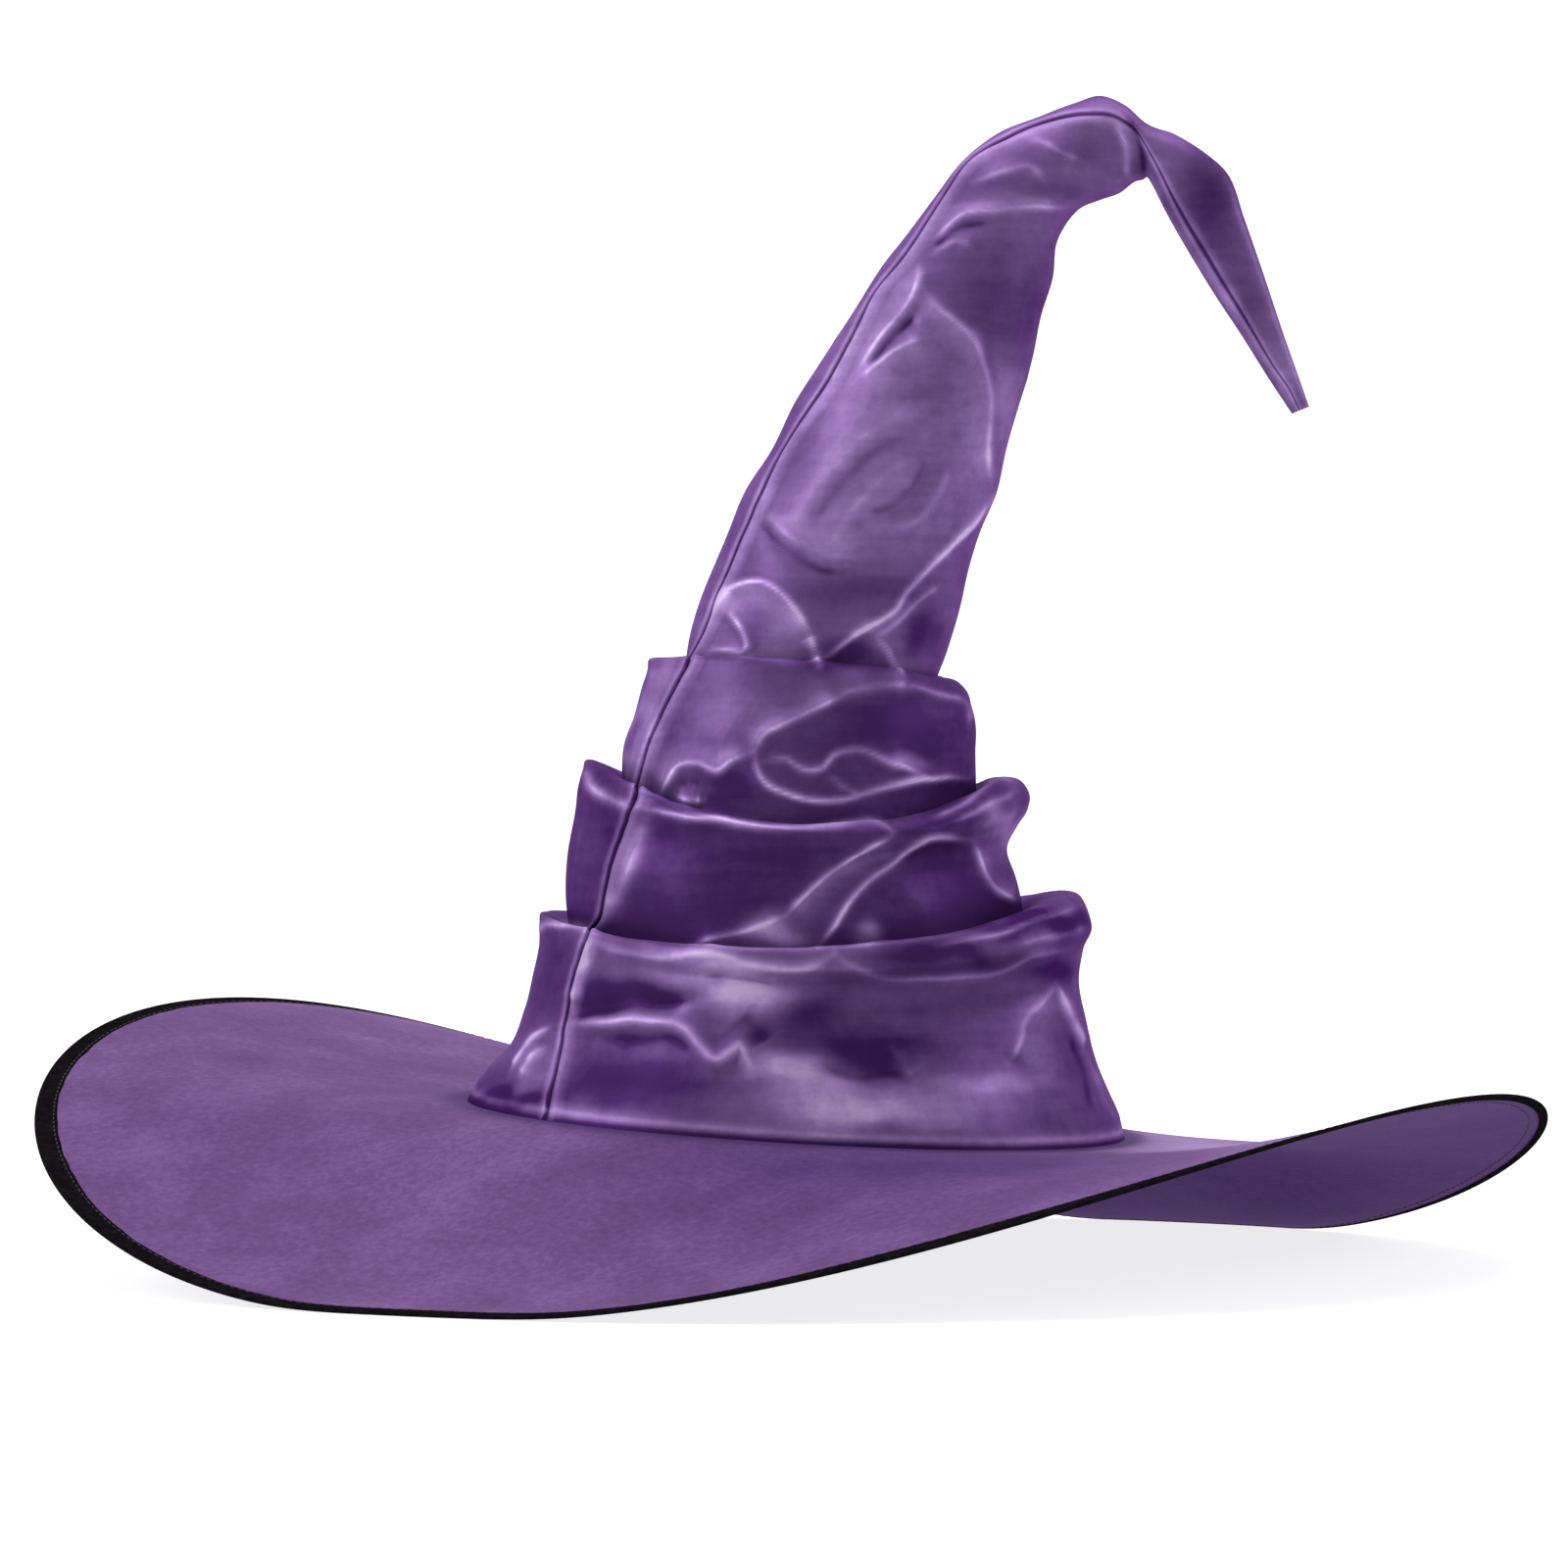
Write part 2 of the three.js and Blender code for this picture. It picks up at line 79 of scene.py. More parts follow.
# The crown's cross-sections, from the hem to the tip. Each is an ellipse between a left and a right point.
# left, right and forward are shares of half the base width, and depth is a share of half the base depth.
# The heights and sag are shares of the crown's height above the seat. Sag lowers the front and the back.
CROWN_SECTIONS = (
    # name, left, left_up, right, right_up, depth, sag, forward
    ("hem_foot", -1.0, -0.0012, 1.0, -0.0012, 0.985, 0.0, 0.0),
    ("hem_edge", -0.979, 0.012, 0.989, 0.01, 0.977, 0.0, 0.0),
    ("hem_rise", -0.931, 0.033, 0.967, 0.03, 0.955, 0.0, 0.0),
    ("skirt_low", -0.869, 0.055, 0.919, 0.064, 0.92, 0.0, 0.0),
    ("skirt_mid", -0.824, 0.091, 0.881, 0.106, 0.886, 0.006, 0.0),
    ("waist_one", -0.8, 0.13, 0.857, 0.155, 0.861, 0.016, 0.0),
    ("tuck1_under", -0.785, 0.157, 0.872, 0.184, 0.867, 0.024, 0.0),
    ("tuck1_edge", -0.783, 0.1755, 0.899, 0.206, 0.889, 0.029, 0.0),
    ("tuck1_crest", -0.776, 0.186, 0.86, 0.235, 0.872, 0.031, 0.0),
    ("tuck1_inner", -0.735, 0.181, 0.776, 0.232, 0.832, 0.032, 0.0),
    ("tuck1_groove", -0.69, 0.173, 0.699, 0.226, 0.759, 0.033, 0.0),
    ("wall2_low", -0.701, 0.204, 0.666, 0.248, 0.741, 0.026, 0.0),
    ("wall2_mid", -0.693, 0.246, 0.639, 0.276, 0.716, 0.022, 0.0),
    ("wall2_high", -0.672, 0.287, 0.669, 0.3, 0.701, 0.03, 0.0),
    ("tuck2_under", -0.663, 0.312, 0.701, 0.318, 0.707, 0.038, 0.0),
    ("tuck2_edge", -0.648, 0.3305, 0.703, 0.332, 0.704, 0.044, 0.0),
    ("tuck2_crest", -0.643, 0.3375, 0.683, 0.3415, 0.684, 0.048, 0.0),
    ("tuck2_inner", -0.595, 0.335, 0.6, 0.343, 0.645, 0.05, 0.0),
    ("tuck2_groove", -0.537, 0.328, 0.549, 0.342, 0.586, 0.05, 0.0),
    ("wall3_low", -0.522, 0.357, 0.543, 0.369, 0.568, 0.028, 0.0),
    ("wall3_mid", -0.49, 0.384, 0.543, 0.394, 0.543, 0.006, 0.0),
    ("wall3_high", -0.469, 0.41, 0.528, 0.413, 0.525, -0.004, 0.0),
    ("tuck3_edge", -0.452, 0.43, 0.513, 0.428, 0.512, -0.009, 0.0),
    ("tuck3_crest", -0.448, 0.441, 0.484, 0.4365, 0.49, -0.01, 0.0),
    ("tuck3_inner", -0.4, 0.435, 0.432, 0.438, 0.455, -0.01, 0.0),
    ("tuck3_groove", -0.346, 0.429, 0.409, 0.436, 0.414, -0.01, 0.0),
    ("cone_01", -0.331, 0.455, 0.454, 0.464, 0.401, -0.004, 0.0),
    ("cone_02", -0.299, 0.496, 0.499, 0.509, 0.395, 0.0, 0.0),
    ("cone_03", -0.251, 0.535, 0.528, 0.55, 0.389, 0.0, 0.0),
    ("cone_04", -0.2, 0.575, 0.564, 0.589, 0.38, 0.0, 0.0),
    ("cone_05", -0.152, 0.614, 0.612, 0.629, 0.373, 0.0, 0.0),
    ("cone_06", -0.072, 0.656, 0.639, 0.668, 0.358, 0.0, 0.0),
    ("cone_07", 0.0, 0.704, 0.681, 0.715, 0.34, 0.0, 0.0),
    ("cone_08", 0.084, 0.748, 0.719, 0.76, 0.321, 0.0, 0.0),
    ("cone_09", 0.173, 0.794, 0.746, 0.801, 0.296, 0.0, 0.0),
    ("cone_10", 0.257, 0.838, 0.782, 0.84, 0.272, 0.0, 0.0),
    ("cone_11", 0.34, 0.874, 0.791, 0.871, 0.247, 0.0, 0.0),
    ("cone_12", 0.427, 0.913, 0.818, 0.891, 0.228, 0.0, 0.0),
    ("cone_13", 0.516, 0.95, 0.866, 0.909, 0.204, 0.0, 0.0),
    ("cone_14", 0.621, 0.979, 0.925, 0.918, 0.176, 0.0, 0.0),
    ("cone_15", 0.734, 0.996, 0.985, 0.926, 0.148, 0.0, 0.0),
    ("cone_16", 0.848, 1.012, 1.032, 0.938, 0.127, 0.0, 0.01),
    ("bend_top", 0.93, 1.02, 1.055, 0.94, 0.111, 0.0, 0.03),
    ("bend_crease", 1.0, 1.011, 1.066, 0.942, 0.093, 0.0, 0.06),
    ("tip_01", 1.052, 0.996, 1.076, 0.936, 0.078, 0.0, 0.09),
    ("tip_02", 1.148, 0.984, 1.115, 0.91, 0.07, 0.0, 0.12),
    ("tip_03", 1.242, 0.966, 1.159, 0.884, 0.064, 0.0, 0.14),
    ("tip_04", 1.308, 0.946, 1.215, 0.854, 0.058, 0.0, 0.15),
    ("tip_05", 1.354, 0.905, 1.27, 0.826, 0.05, 0.0, 0.16),
    ("tip_06", 1.412, 0.851, 1.331, 0.797, 0.041, 0.0, 0.17),
    ("tip_07", 1.47, 0.795, 1.387, 0.769, 0.033, 0.0, 0.18),
    ("tip_08", 1.518, 0.752, 1.438, 0.744, 0.026, 0.0, 0.18),
    ("tip_end", 1.548, 0.725, 1.496, 0.717, 0.016, 0.0, 0.18),
)
CAVITY_END = "tip_04"  # past this section the tip is filled by its own seam allowances
TUCKED_IN = ("_under", "_edge", "_crest", "_inner")  # rows that the inside of the crown passes by

# Folds of the crown's front, as lines in the picture (pixels right and down from its top left corner).
# height is in millimetres, above 0 a ridge and below 0 a crease; width is the half width in pixels, and
# tone is the painted highlight along the fold, or where it is below 0 the painted shade in a crease. A skirt is how
# many pixels that painted light or shade takes to fade on one side: the right-hand side of the line's direction, or the
# left-hand one where it is below 0.
FRONT_FOLDS = (
    # name, height, width, tone, skirt, points
    ("hem_left_swell", 1.8, 13, 0.34, 0,
     ((578, 1045), (600, 1043), (640, 1042), (680, 1044), (700, 1052), (716, 1068), (731, 1080), (745, 1074),
      (757, 1068), (763, 1084), (766, 1098))),
    ("hem_left_under", -0.8, 13, -0.14, 0, ((622, 1062), (655, 1061), (685, 1061), (708, 1076))),
    ("hem_notch", -1.0, 24, -0.14, 0, ((756, 1034), (772, 1050), (784, 1066))),
    ("hem_valley_foot", -1.2, 12, -0.12, 24, ((934, 1103), (908, 1094), (880, 1098), (852, 1094), (836, 1082))),
    ("hem_valley_lip", 1.0, 9, 0.08, 0, ((905, 1066), (918, 1082), (934, 1102))),
    ("hem_left_hollow", -1.2, 11, -0.24, -26, ((580, 1040), (610, 1031), (650, 1026), (705, 1020))),
    ("hem_patch_crease", -0.6, 5, -0.12, 0, ((722, 996), (750, 1000), (790, 1006))),
    ("hem_right_ridge", 1.8, 8, 0.36, 0, ((1078, 1003), (1082, 1020), (1095, 1049), (1103, 1070))),
    ("hem_right_ridge_low", 1.0, 8, 0.1, 0, ((1103, 1070), (1124, 1120), (1139, 1148))),
    ("hem_right_branch", 1.6, 9, 0.25, -26, ((1078, 1003), (1062, 1020), (1045, 1041), (1040, 1062), (1032, 1087))),
    ("hem_right_dip", -0.6, 8, -0.1, 0, ((1092, 1056), (1104, 1095), (1114, 1137))),
    ("flare_streak_long", 1.4, 7, 0.4, 0, ((562, 1045), (541, 1066), (522, 1090))),
    ("flare_streak_short", 1.0, 6, 0.3, 0, ((556, 1068), (545, 1080), (534, 1098))),
    ("tuck1_lip", 0.8, 13, 0.36, 30,
     ((601, 955), (628, 970), (666, 976), (720, 974), (770, 985), (803, 989), (828, 985), (851, 974))),
    ("tuck1_lip_right", 0.8, 9, 0.32, 12,
     ((851, 974), (874, 989), (907, 997), (957, 997), (999, 995), (1028, 987), (1057, 974), (1091, 970))),
    ("tuck1_roll", 0.8, 5, 0.25, 0, ((955, 967), (1000, 957), (1052, 942), (1100, 926))),
    ("tuck1_roll_low", 0.8, 5, 0.2, 0, ((1040, 965), (1075, 957), (1108, 948))),
    ("tuck1_left_fold", 1.2, 14, 0.34, 0, ((602, 954), (598, 985), (586, 1024))),
    ("tuck1_ear_rim", 0.4, 9, 0.4, 0, ((546, 952), (556, 944), (576, 943), (600, 947))),
    ("tuck2_roll_high", 0.6, 8, 0.3, 0, ((956, 832), (987, 818), (1014, 799), (1036, 801))),
    ("tuck2_roll_low", 0.6, 8, 0.26, 0, ((978, 836), (1004, 824), (1034, 809))),
    ("wall2_ridge_top", 1.4, 7, 0.45, 0,
     ((652, 824), (677, 830), (713, 835), (766, 842), (820, 846), (856, 842), (884, 839), (899, 842), (909, 849))),
    ("wall2_ridge_back", 1.8, 8, 0.45, -17,
     ((909, 849), (906, 855), (884, 867), (856, 885), (834, 903), (813, 924), (802, 935))),
    ("wall2_ridge_foot", 1.2, 8, 0.38, -12, ((802, 935), (770, 949), (738, 956), (713, 962))),
    ("wall2_second", 1.8, 8, 0.45, 0,
     ((991, 856), (963, 853), (945, 856), (924, 867), (906, 885), (884, 903), (863, 924), (849, 949), (835, 966))),
    ("wall2_right", 1.6, 8, 0.45, -16, ((995, 858), (999, 881), (1009, 899), (1024, 914), (1038, 919))),
    ("wall2_seam_gleam", 0.5, 18, 0.36, 0, ((660, 838), (648, 872), (634, 905), (622, 930))),
    ("wall2_left_lip", 0.8, 13, 0.42, 0, ((599, 782), (605, 802), (620, 815), (643, 824))),
    ("wall3_loop_top", 1.4, 8, 0.4, -22, ((770, 767), (781, 749), (802, 737), (827, 724), (856, 712))),
    ("wall3_loop_far", 1.0, 14, 0.2, -22, ((845, 714), (870, 705), (895, 700), (927, 699))),
    ("wall3_loop_low", 1.8, 8, 0.45, 0,
     ((770, 767), (774, 785), (788, 803), (813, 814), (841, 819), (866, 817), (899, 806), (927, 799), (956, 794),
      (991, 794))),
    ("wall3_wave", 1.2, 6, 0.35, 0,
     ((777, 778), (799, 776), (820, 785), (838, 783), (852, 769), (874, 765), (891, 771), (909, 781), (941, 790))),
    ("wall3_wave_branch", 0.8, 8, 0.15, 0, ((845, 792), (858, 804), (874, 814))),
    ("wall3_left", 1.6, 8, 0.4, 20,
     ((766, 769), (749, 776), (734, 787), (724, 785), (713, 780), (695, 783), (684, 799), (674, 810))),
    ("wall3_bead", 1.0, 8, 0.45, 0, ((692, 811), (704, 817), (718, 817))),
    ("wall3_dimple", -0.7, 12, -0.06, 0, ((694, 800), (704, 797), (714, 801))),
    ("wall3_right_edge", 0.8, 6, 0.25, 0, ((931, 700), (949, 706), (974, 711), (986, 721), (988, 742))),
    ("cone_arc_outer", 1.6, 8, 0.38, 15,
     ((723, 632), (736, 611), (753, 597), (778, 596), (798, 607), (815, 628), (825, 648))),
    ("cone_arc_tail", 1.6, 9, 0.42, 0, ((825, 648), (830, 665), (836, 680))),
    ("cone_arc_inner", 1.2, 6, 0.3, 0, ((740, 619), (753, 636), (761, 653), (767, 669))),
    ("cone_arc_foot", 0.8, 6, 0.22, 0, ((722, 662), (740, 664), (764, 669))),
    ("cone_diagonal", 1.8, 8, 0.4, 0,
     ((836, 680), (857, 661), (886, 640), (911, 623), (923, 603), (944, 582), (965, 561), (990, 532), (1013, 507))),
    ("cone_side_line", 1.0, 6, 0.22, 0, ((894, 650), (915, 633), (936, 613), (958, 598))),
    ("cone_low_edge", 1.0, 6, 0.25, 10, ((894, 650), (903, 664), (912, 682), (920, 692))),
    ("cone_right_arc", 1.6, 9, 0.3, 22,
     ((940, 292), (957, 315), (982, 336), (998, 361), (1007, 390), (1009, 423), (1005, 465), (1011, 498))),
    ("cone_v_left", 1.4, 8, 0.3, -15, ((875, 378), (907, 336), (936, 296), (939, 270))),
    ("cone_v_right", 1.3, 8, 0.28, 13, ((878, 384), (911, 361), (940, 346))),
    ("cone_v_valley", -1.4, 9, -0.2, 0, ((886, 374), (908, 350), (935, 318))),
    ("cone_crease", -1.4, 9, -0.15, 0, ((778, 534), (798, 560), (832, 578), (860, 584))),
    ("cone_crease_lip", 1.0, 10, 0.12, -28, ((780, 520), (804, 545), (836, 562), (872, 566))),
    ("cone_swirl_dark", -0.9, 12, -0.1, 22, ((884, 524), (908, 517), (928, 502), (940, 484), (944, 466))),
    ("cone_swirl_light", 1.0, 9, 0.1, 0, ((886, 539), (931, 533), (956, 504), (966, 478))),
    ("cone_band_long", 0.7, 18, 0.12, 0, ((806, 540), (838, 492), (872, 455), (912, 428), (944, 424))),
    ("cone_band_mid", 0.5, 12, 0.09, 0, ((848, 556), (874, 516), (902, 486), (926, 470))),
    ("cone_band_dark", -0.6, 14, -0.09, 0, ((828, 536), (858, 494), (892, 462), (930, 446))),
    ("neck_top", 1.4, 8, 0.28, -16, ((952, 244), (982, 221), (1015, 217), (1057, 211), (1086, 213))),
    ("neck_top_crease", -1.0, 8, -0.15, 0, ((950, 254), (978, 233), (1010, 229))),
    ("neck_squiggle", 0.8, 7, 0.15, 0, ((953, 260), (965, 252), (978, 248), (992, 254))),
    ("top_arc", 1.0, 8, 0.16, 0, ((985, 188), (1010, 182), (1036, 173), (1050, 169), (1066, 183))),
    ("top_gleam", 1.0, 8, 0.2, 10, ((1050, 146), (1065, 147), (1082, 156), (1100, 162))),
    ("bend_line", -1.2, 7, -0.25, 0, ((1149, 119), (1162, 147), (1167, 180))),
    ("bend_gleam", 1.0, 7, 0.25, 0, ((1136, 122), (1148, 150), (1150, 180))),
    ("tip_seam_gleam", 0.4, 9, 0.16, 0, ((1166, 168), (1190, 214), (1222, 268), (1256, 322), (1290, 374))),
)

# Folds of the crown's far side, which the picture doesn't show, drawn in the same plane as if seen through, with
# painted highlights and painted shade as on the front.
BACK_FOLDS = (
    ("back_hem_swell", 2.4, 12, 0.27, 0, ((560, 1060), (640, 1085), (740, 1100), (830, 1090))),
    ("back_hem_ridge", 2.2, 9, 0.32, 0, ((1080, 1030), (1010, 1050), (950, 1085), (925, 1130))),
    ("back_hem_valley", -2.4, 24, -0.23, 0, ((700, 1040), (800, 1050), (880, 1040))),
    ("back_tuck1_roll", 1.6, 9, 0.27, 0, ((640, 990), (760, 1002), (900, 1004), (1020, 985))),
    ("back_wall2_ridge", 2.8, 9, 0.38, 0, ((640, 830), (720, 850), (800, 880), (860, 920), (900, 960))),
    ("back_wall2_branch", 2.2, 8, 0.32, 0, ((1000, 840), (940, 860), (890, 890), (862, 922))),
    ("back_wall2_hollow", -2.4, 40, -0.18, 0, ((700, 910), (760, 935), (800, 930))),
    ("back_wall3_loop", 2.4, 9, 0.32, 0, ((960, 710), (890, 730), (830, 765), (820, 800), (870, 815), (950, 800))),
    ("back_wall3_line", 1.8, 9, 0.27, 0, ((690, 800), (740, 780), (790, 785), (820, 800))),
    ("back_cone_ridge", 2.8, 10, 0.36, 0, ((730, 640), (790, 610), (850, 600), (910, 560), (960, 500), (990, 430))),
    ("back_cone_branch", 2.0, 9, 0.27, 0, ((850, 600), (880, 640), (940, 665))),
    ("back_cone_valley", -2.2, 20, -0.23, 0, ((790, 560), (850, 545), (900, 500))),
    ("back_cone_v", 2.0, 9, 0.32, 0, ((870, 420), (900, 370), (950, 330), (1000, 320))),
    ("back_neck", 2.0, 9, 0.27, 0, ((930, 300), (970, 262), (1020, 240), (1080, 232))),
    ("back_bend", -1.6, 9, -0.27, 0, ((1120, 125), (1135, 160), (1130, 200))),
)

# Places in the picture where the satin has painted pools of light or painted shade, on the front and the back alike.
CROWN_PAINTED_LIGHT = (
    # name, right, down, half width, half height, tone
    ("low_left_patch", 752, 1016, 48, 20, 0.5),
    ("low_lip_patch", 735, 992, 75, 12, 0.2),
    ("low_mid_hollow", 826, 1030, 34, 24, -0.18),
    ("low_gleam", 806, 1092, 50, 20, 0.5),
    ("low_valley", 890, 1070, 66, 18, -0.15),
    ("low_pool", 880, 1130, 105, 26, 0.52),
    ("low_pool_right", 1010, 1106, 60, 11, 0.2),
    ("low_left_foot", 655, 1105, 80, 32, -0.2),
    ("low_left_hollow", 650, 1014, 62, 13, -0.2),
    ("low_right_panel", 1056, 1066, 22, 48, 0.06),
    ("low_left_panel", 565, 985, 22, 45, -0.06),
    ("low_right_lip_dark", 1058, 944, 62, 14, -0.26),
    ("low_mid_lip_dark", 955, 976, 62, 11, -0.18),
    ("low_under_right_lip", 1074, 990, 30, 13, -0.2),
    ("low_flare", 548, 1080, 26, 26, 0.16),
    ("low_flare_foot", 522, 1120, 50, 12, -0.32),
    ("middle_left_panel", 598, 876, 24, 64, 0.1),
    ("middle_lip_dark", 830, 829, 130, 9, 0.04),
    ("middle_between", 862, 893, 30, 26, 0.04),
    ("middle_triangle", 793, 952, 34, 14, 0.42),
    ("middle_spot", 881, 956, 12, 12, 0.4),
    ("middle_right_panel", 1020, 850, 22, 34, 0.22),
    ("middle_right_lip", 1022, 838, 20, 18, 0.26),
    ("high_left_light", 731, 717, 44, 34, 0.18),
    ("high_strip_top", 676, 690, 15, 24, 0.34),
    ("high_strip_middle", 661, 735, 15, 28, 0.4),
    ("high_strip_low", 644, 776, 15, 22, 0.38),
    ("high_left_foot", 690, 800, 30, 25, 0.12),
    ("high_right_hollow", 902, 746, 85, 30, -0.1),
    ("high_wave_patch", 926, 779, 18, 10, 0.22),
    ("high_triangle", 749, 803, 24, 12, -0.1),
    ("cone_swell", 890, 450, 75, 95, 0.1),
    ("cone_light_low", 850, 540, 55, 42, 0.16),
    ("cone_left_side", 808, 476, 30, 100, -0.1),
    ("cone_neck_dark", 1015, 318, 50, 60, -0.18),
    ("cone_low_dark", 873, 598, 75, 24, -0.17),
    ("cone_left_foot", 760, 560, 30, 40, -0.08),
    ("cone_foot_dark", 870, 672, 40, 16, -0.32),
    ("cone_triangle_dark", 940, 650, 25, 28, -0.25),
    ("cone_right_edge", 1025, 400, 12, 50, 0.15),
    ("cone_arc_hollow", 772, 645, 16, 22, -0.12),
    ("cone_arc_light", 800, 650, 16, 25, 0.1),
    ("top_left_dark", 985, 196, 34, 22, -0.14),
    ("top_dark", 1065, 158, 40, 12, -0.12),
    ("top_low_dark", 1070, 194, 40, 14, -0.16),
    ("tip_dark", 1234, 210, 34, 66, -0.24),
    ("tip_mid_dark", 1272, 310, 20, 50, -0.14),
    ("tip_light", 1308, 385, 20, 30, 0.1),
)

# Places of the brim, seen from above in metres from its middle, where its satin has a painted highlight or, below 0,
# painted shade.
BRIM_PAINTED_LIGHT = (
    # name, right, back, half width, half depth, amount
    ("right_edge", 0.13, -0.08, 0.034, 0.1, 0.46),
    ("beside_hem", 0.112, 0.0, 0.022, 0.08, 0.36),
    ("before_hem", 0.035, -0.118, 0.08, 0.034, -0.78),
    ("front", 0.03, -0.17, 0.08, 0.04, -0.25),
    ("left", -0.17, -0.04, 0.05, 0.09, -0.14),
)

# The crown's one seam, from the hem over the bend to the tip, in the picture.
SEAM_LINE = (
    (558, 1135), (573, 1069), (584, 1008), (602, 951), (612, 940), (625, 880), (648, 814), (666, 750), (700, 683),
    (714, 657), (746, 578), (778, 504), (803, 453), (841, 396), (873, 338), (892, 300), (920, 266), (955, 213),
    (990, 164), (1018, 147), (1060, 126), (1110, 116), (1152, 126), (1176, 161), (1201, 210), (1236, 269),
    (1271, 326), (1302, 378), (1317, 396),
)
# Columns of the cloth beside the seam, in millimetres from it, how high the cloth stands there, and the painted
# highlight beside the seam or, below 0, the painted shade in it.
SEAM_PROFILE = (
    # offset, height, tone
    (-7.0, 0.0, 0.0),
    (-4.4, 0.1, 0.02),
    (-2.6, 0.35, 0.16),
    (-1.5, 0.5, 0.24),
    (-0.7, 0.0, -0.1),
    (0.0, -0.8, -0.3),
    (0.7, 0.0, -0.1),
    (1.5, 0.6, 0.22),
    (2.6, 0.7, 0.26),
    (4.4, 0.3, 0.1),
    (7.0, 0.0, 0.0),
)

# The crown is made in pieces that meet inside its tucks.
CROWN_PIECES = (
    # name, first section, last section, columns round, millimetres between rings, tone where the satin lies flat, the
    # satin's own colour together with painted shade on the darker tiers and painted light on the lighter ones
    ("crown_low_tier", "hem_foot", "tuck1_groove", 660, 0.65, 0.4),
    ("crown_middle_tier", "tuck1_groove", "tuck2_groove", 680, 0.6, 0.27),
    ("crown_high_tier", "tuck2_groove", "tuck3_groove", 600, 0.6, 0.32),
    ("crown_cone", "tuck3_groove", "tip_end", 280, 0.95, 0.5),
)

# How finely the surfaces are made
LINING_STEP = 4  # crown columns and rings for each of the inside's
BRIM_HEADINGS = 720
BRIM_BANDS = 60

# How the painted highlights and painted shade follow a fold, in shares of the fold's width or of its length
FOLD_ENDS = 0.14  # of the length, over which a fold begins and ends
FOLD_TURNED_AWAY = (-0.04, 0.16)  # how far the cloth faces the viewer where a fold starts to show, and shows in full
LINE_WIDTH = 0.43  # of the width, for the line of light along the top
LEAST_LINE = 3.4  # pixels, so that no line of light is finer than the mesh
LINE_STRENGTH = 1.45
SKIRT_STRENGTH = 0.75

# The unevenness all over the crown's cloth: noise at so many waves per metre, each with its own seed
SOFT_WAVES = ((28, 3.0, 1.0), (62, 11.0, 0.55))  # and its share
RIDGED_WAVES = (40, 23.0)
STRAY_WAVES = ((75, 31.0), (75, 47.0))  # to the right and down in the picture
SEAM_SMOOTHING = 15  # rings
LINING_DEPTH = 2.2  # walls, from the outer face in to the lining, which hangs free above the hem

# The thin parts of the brim, measured from the surface that its rule gives
SEAT_GAP = 0.3 * MM  # between the brim's seat in the frame and the crown's hem
FRAME_HALF = 0.6 * MM  # half the thickness of the frame's brim
EDGE_HALF = 1.9 * MM  # from the surface down to the tape's underside, which rests on the floor
TAPE_TOP = -0.7 * MM
UNDER_STITCHES = -1.6 * MM
SHEET_OUTER = 1.0 * MM  # the cloth ends this far inside the edge, within the tape
SHEET_INNER = 0.14  # farther in than the head opening on every side, where the cloth stops


# ---------------------------------------------------------------- sizes and colours


def length(name, description, default):
    return FloatProperty(name=name, description=description, default=default, min=0, subtype="DISTANCE", unit="LENGTH")


def heading(name, description, degrees):
    return FloatProperty(
        name=name, description=description, default=math.radians(degrees), subtype="ANGLE", unit="ROTATION"
    )


def factor(name, description, default, top=1.0):
    return FloatProperty(name=name, description=description, default=default, min=0, max=top, subtype="FACTOR")


def tint(name, description, red, green, blue):
    """A colour given as it shows on a screen, from 0 to 255."""
    linear = [from_screen(value / 255) for value in (red, green, blue)]
    return FloatVectorProperty(
        name=name, description=description, default=linear, min=0, max=1, size=3, subtype="COLOR"
    )


def from_screen(value):
    return value / 12.92 if value <= 0.04045 else ((value + 0.055) / 1.055) ** 2.4


class CrownProperties(bpy.types.PropertyGroup):
    base_width: length("Base width", "Over the hem, left to right", 0.1943)
    base_depth: length("Base depth", "Over the hem, front to back", 0.188)
    height: length("Height", "From the seat to about the top of the bend", 0.301)
    shift: length("Shift", "Of the crown's middle to the right of the brim's", 0.0015)
    wall: length("Wall", "Thickness of the cloth and its lining", 0.0016)
    fold_height: factor("Fold height", "Scales every fold's height", 0.7, 3.0)
    crumple: length("Crumple", "Height of the slight unevenness all over the cloth", 0.0004)
    line_stray: FloatProperty(
        name="Line stray", description="How many picture pixels the folds wander", default=3.0, min=0
    )
    # How far the edges of the painted light and painted shade wander
    painted_light_stray: FloatProperty(
        name="Tone stray", description="How many picture pixels the edges of light and dark wander", default=13.0, min=0
    )
    tuck_depth: length("Tuck depth", "How much deeper each tuck's groove is than the frame's", 0.004)
    tuck_gap: length("Tuck gap", "Between the two layers of cloth in a tuck's groove", 0.0006)
    # The colour ramp: deep and shade are painted shade, cloth is the satin's own colour, shine and gleam are painted
    # highlights
    deep: tint("Deep shade", "The satin's darkest tone", 46, 24, 66)
    shade: tint("Shade", "Where the satin lies flat and dark", 62, 34, 86)
    cloth: tint("Cloth", "The satin's own colour", 108, 80, 131)
    shine: tint("Shine", "Where the satin catches the light", 149, 119, 175)
    gleam: tint("Gleam", "The satin's lightest tone", 196, 170, 213)


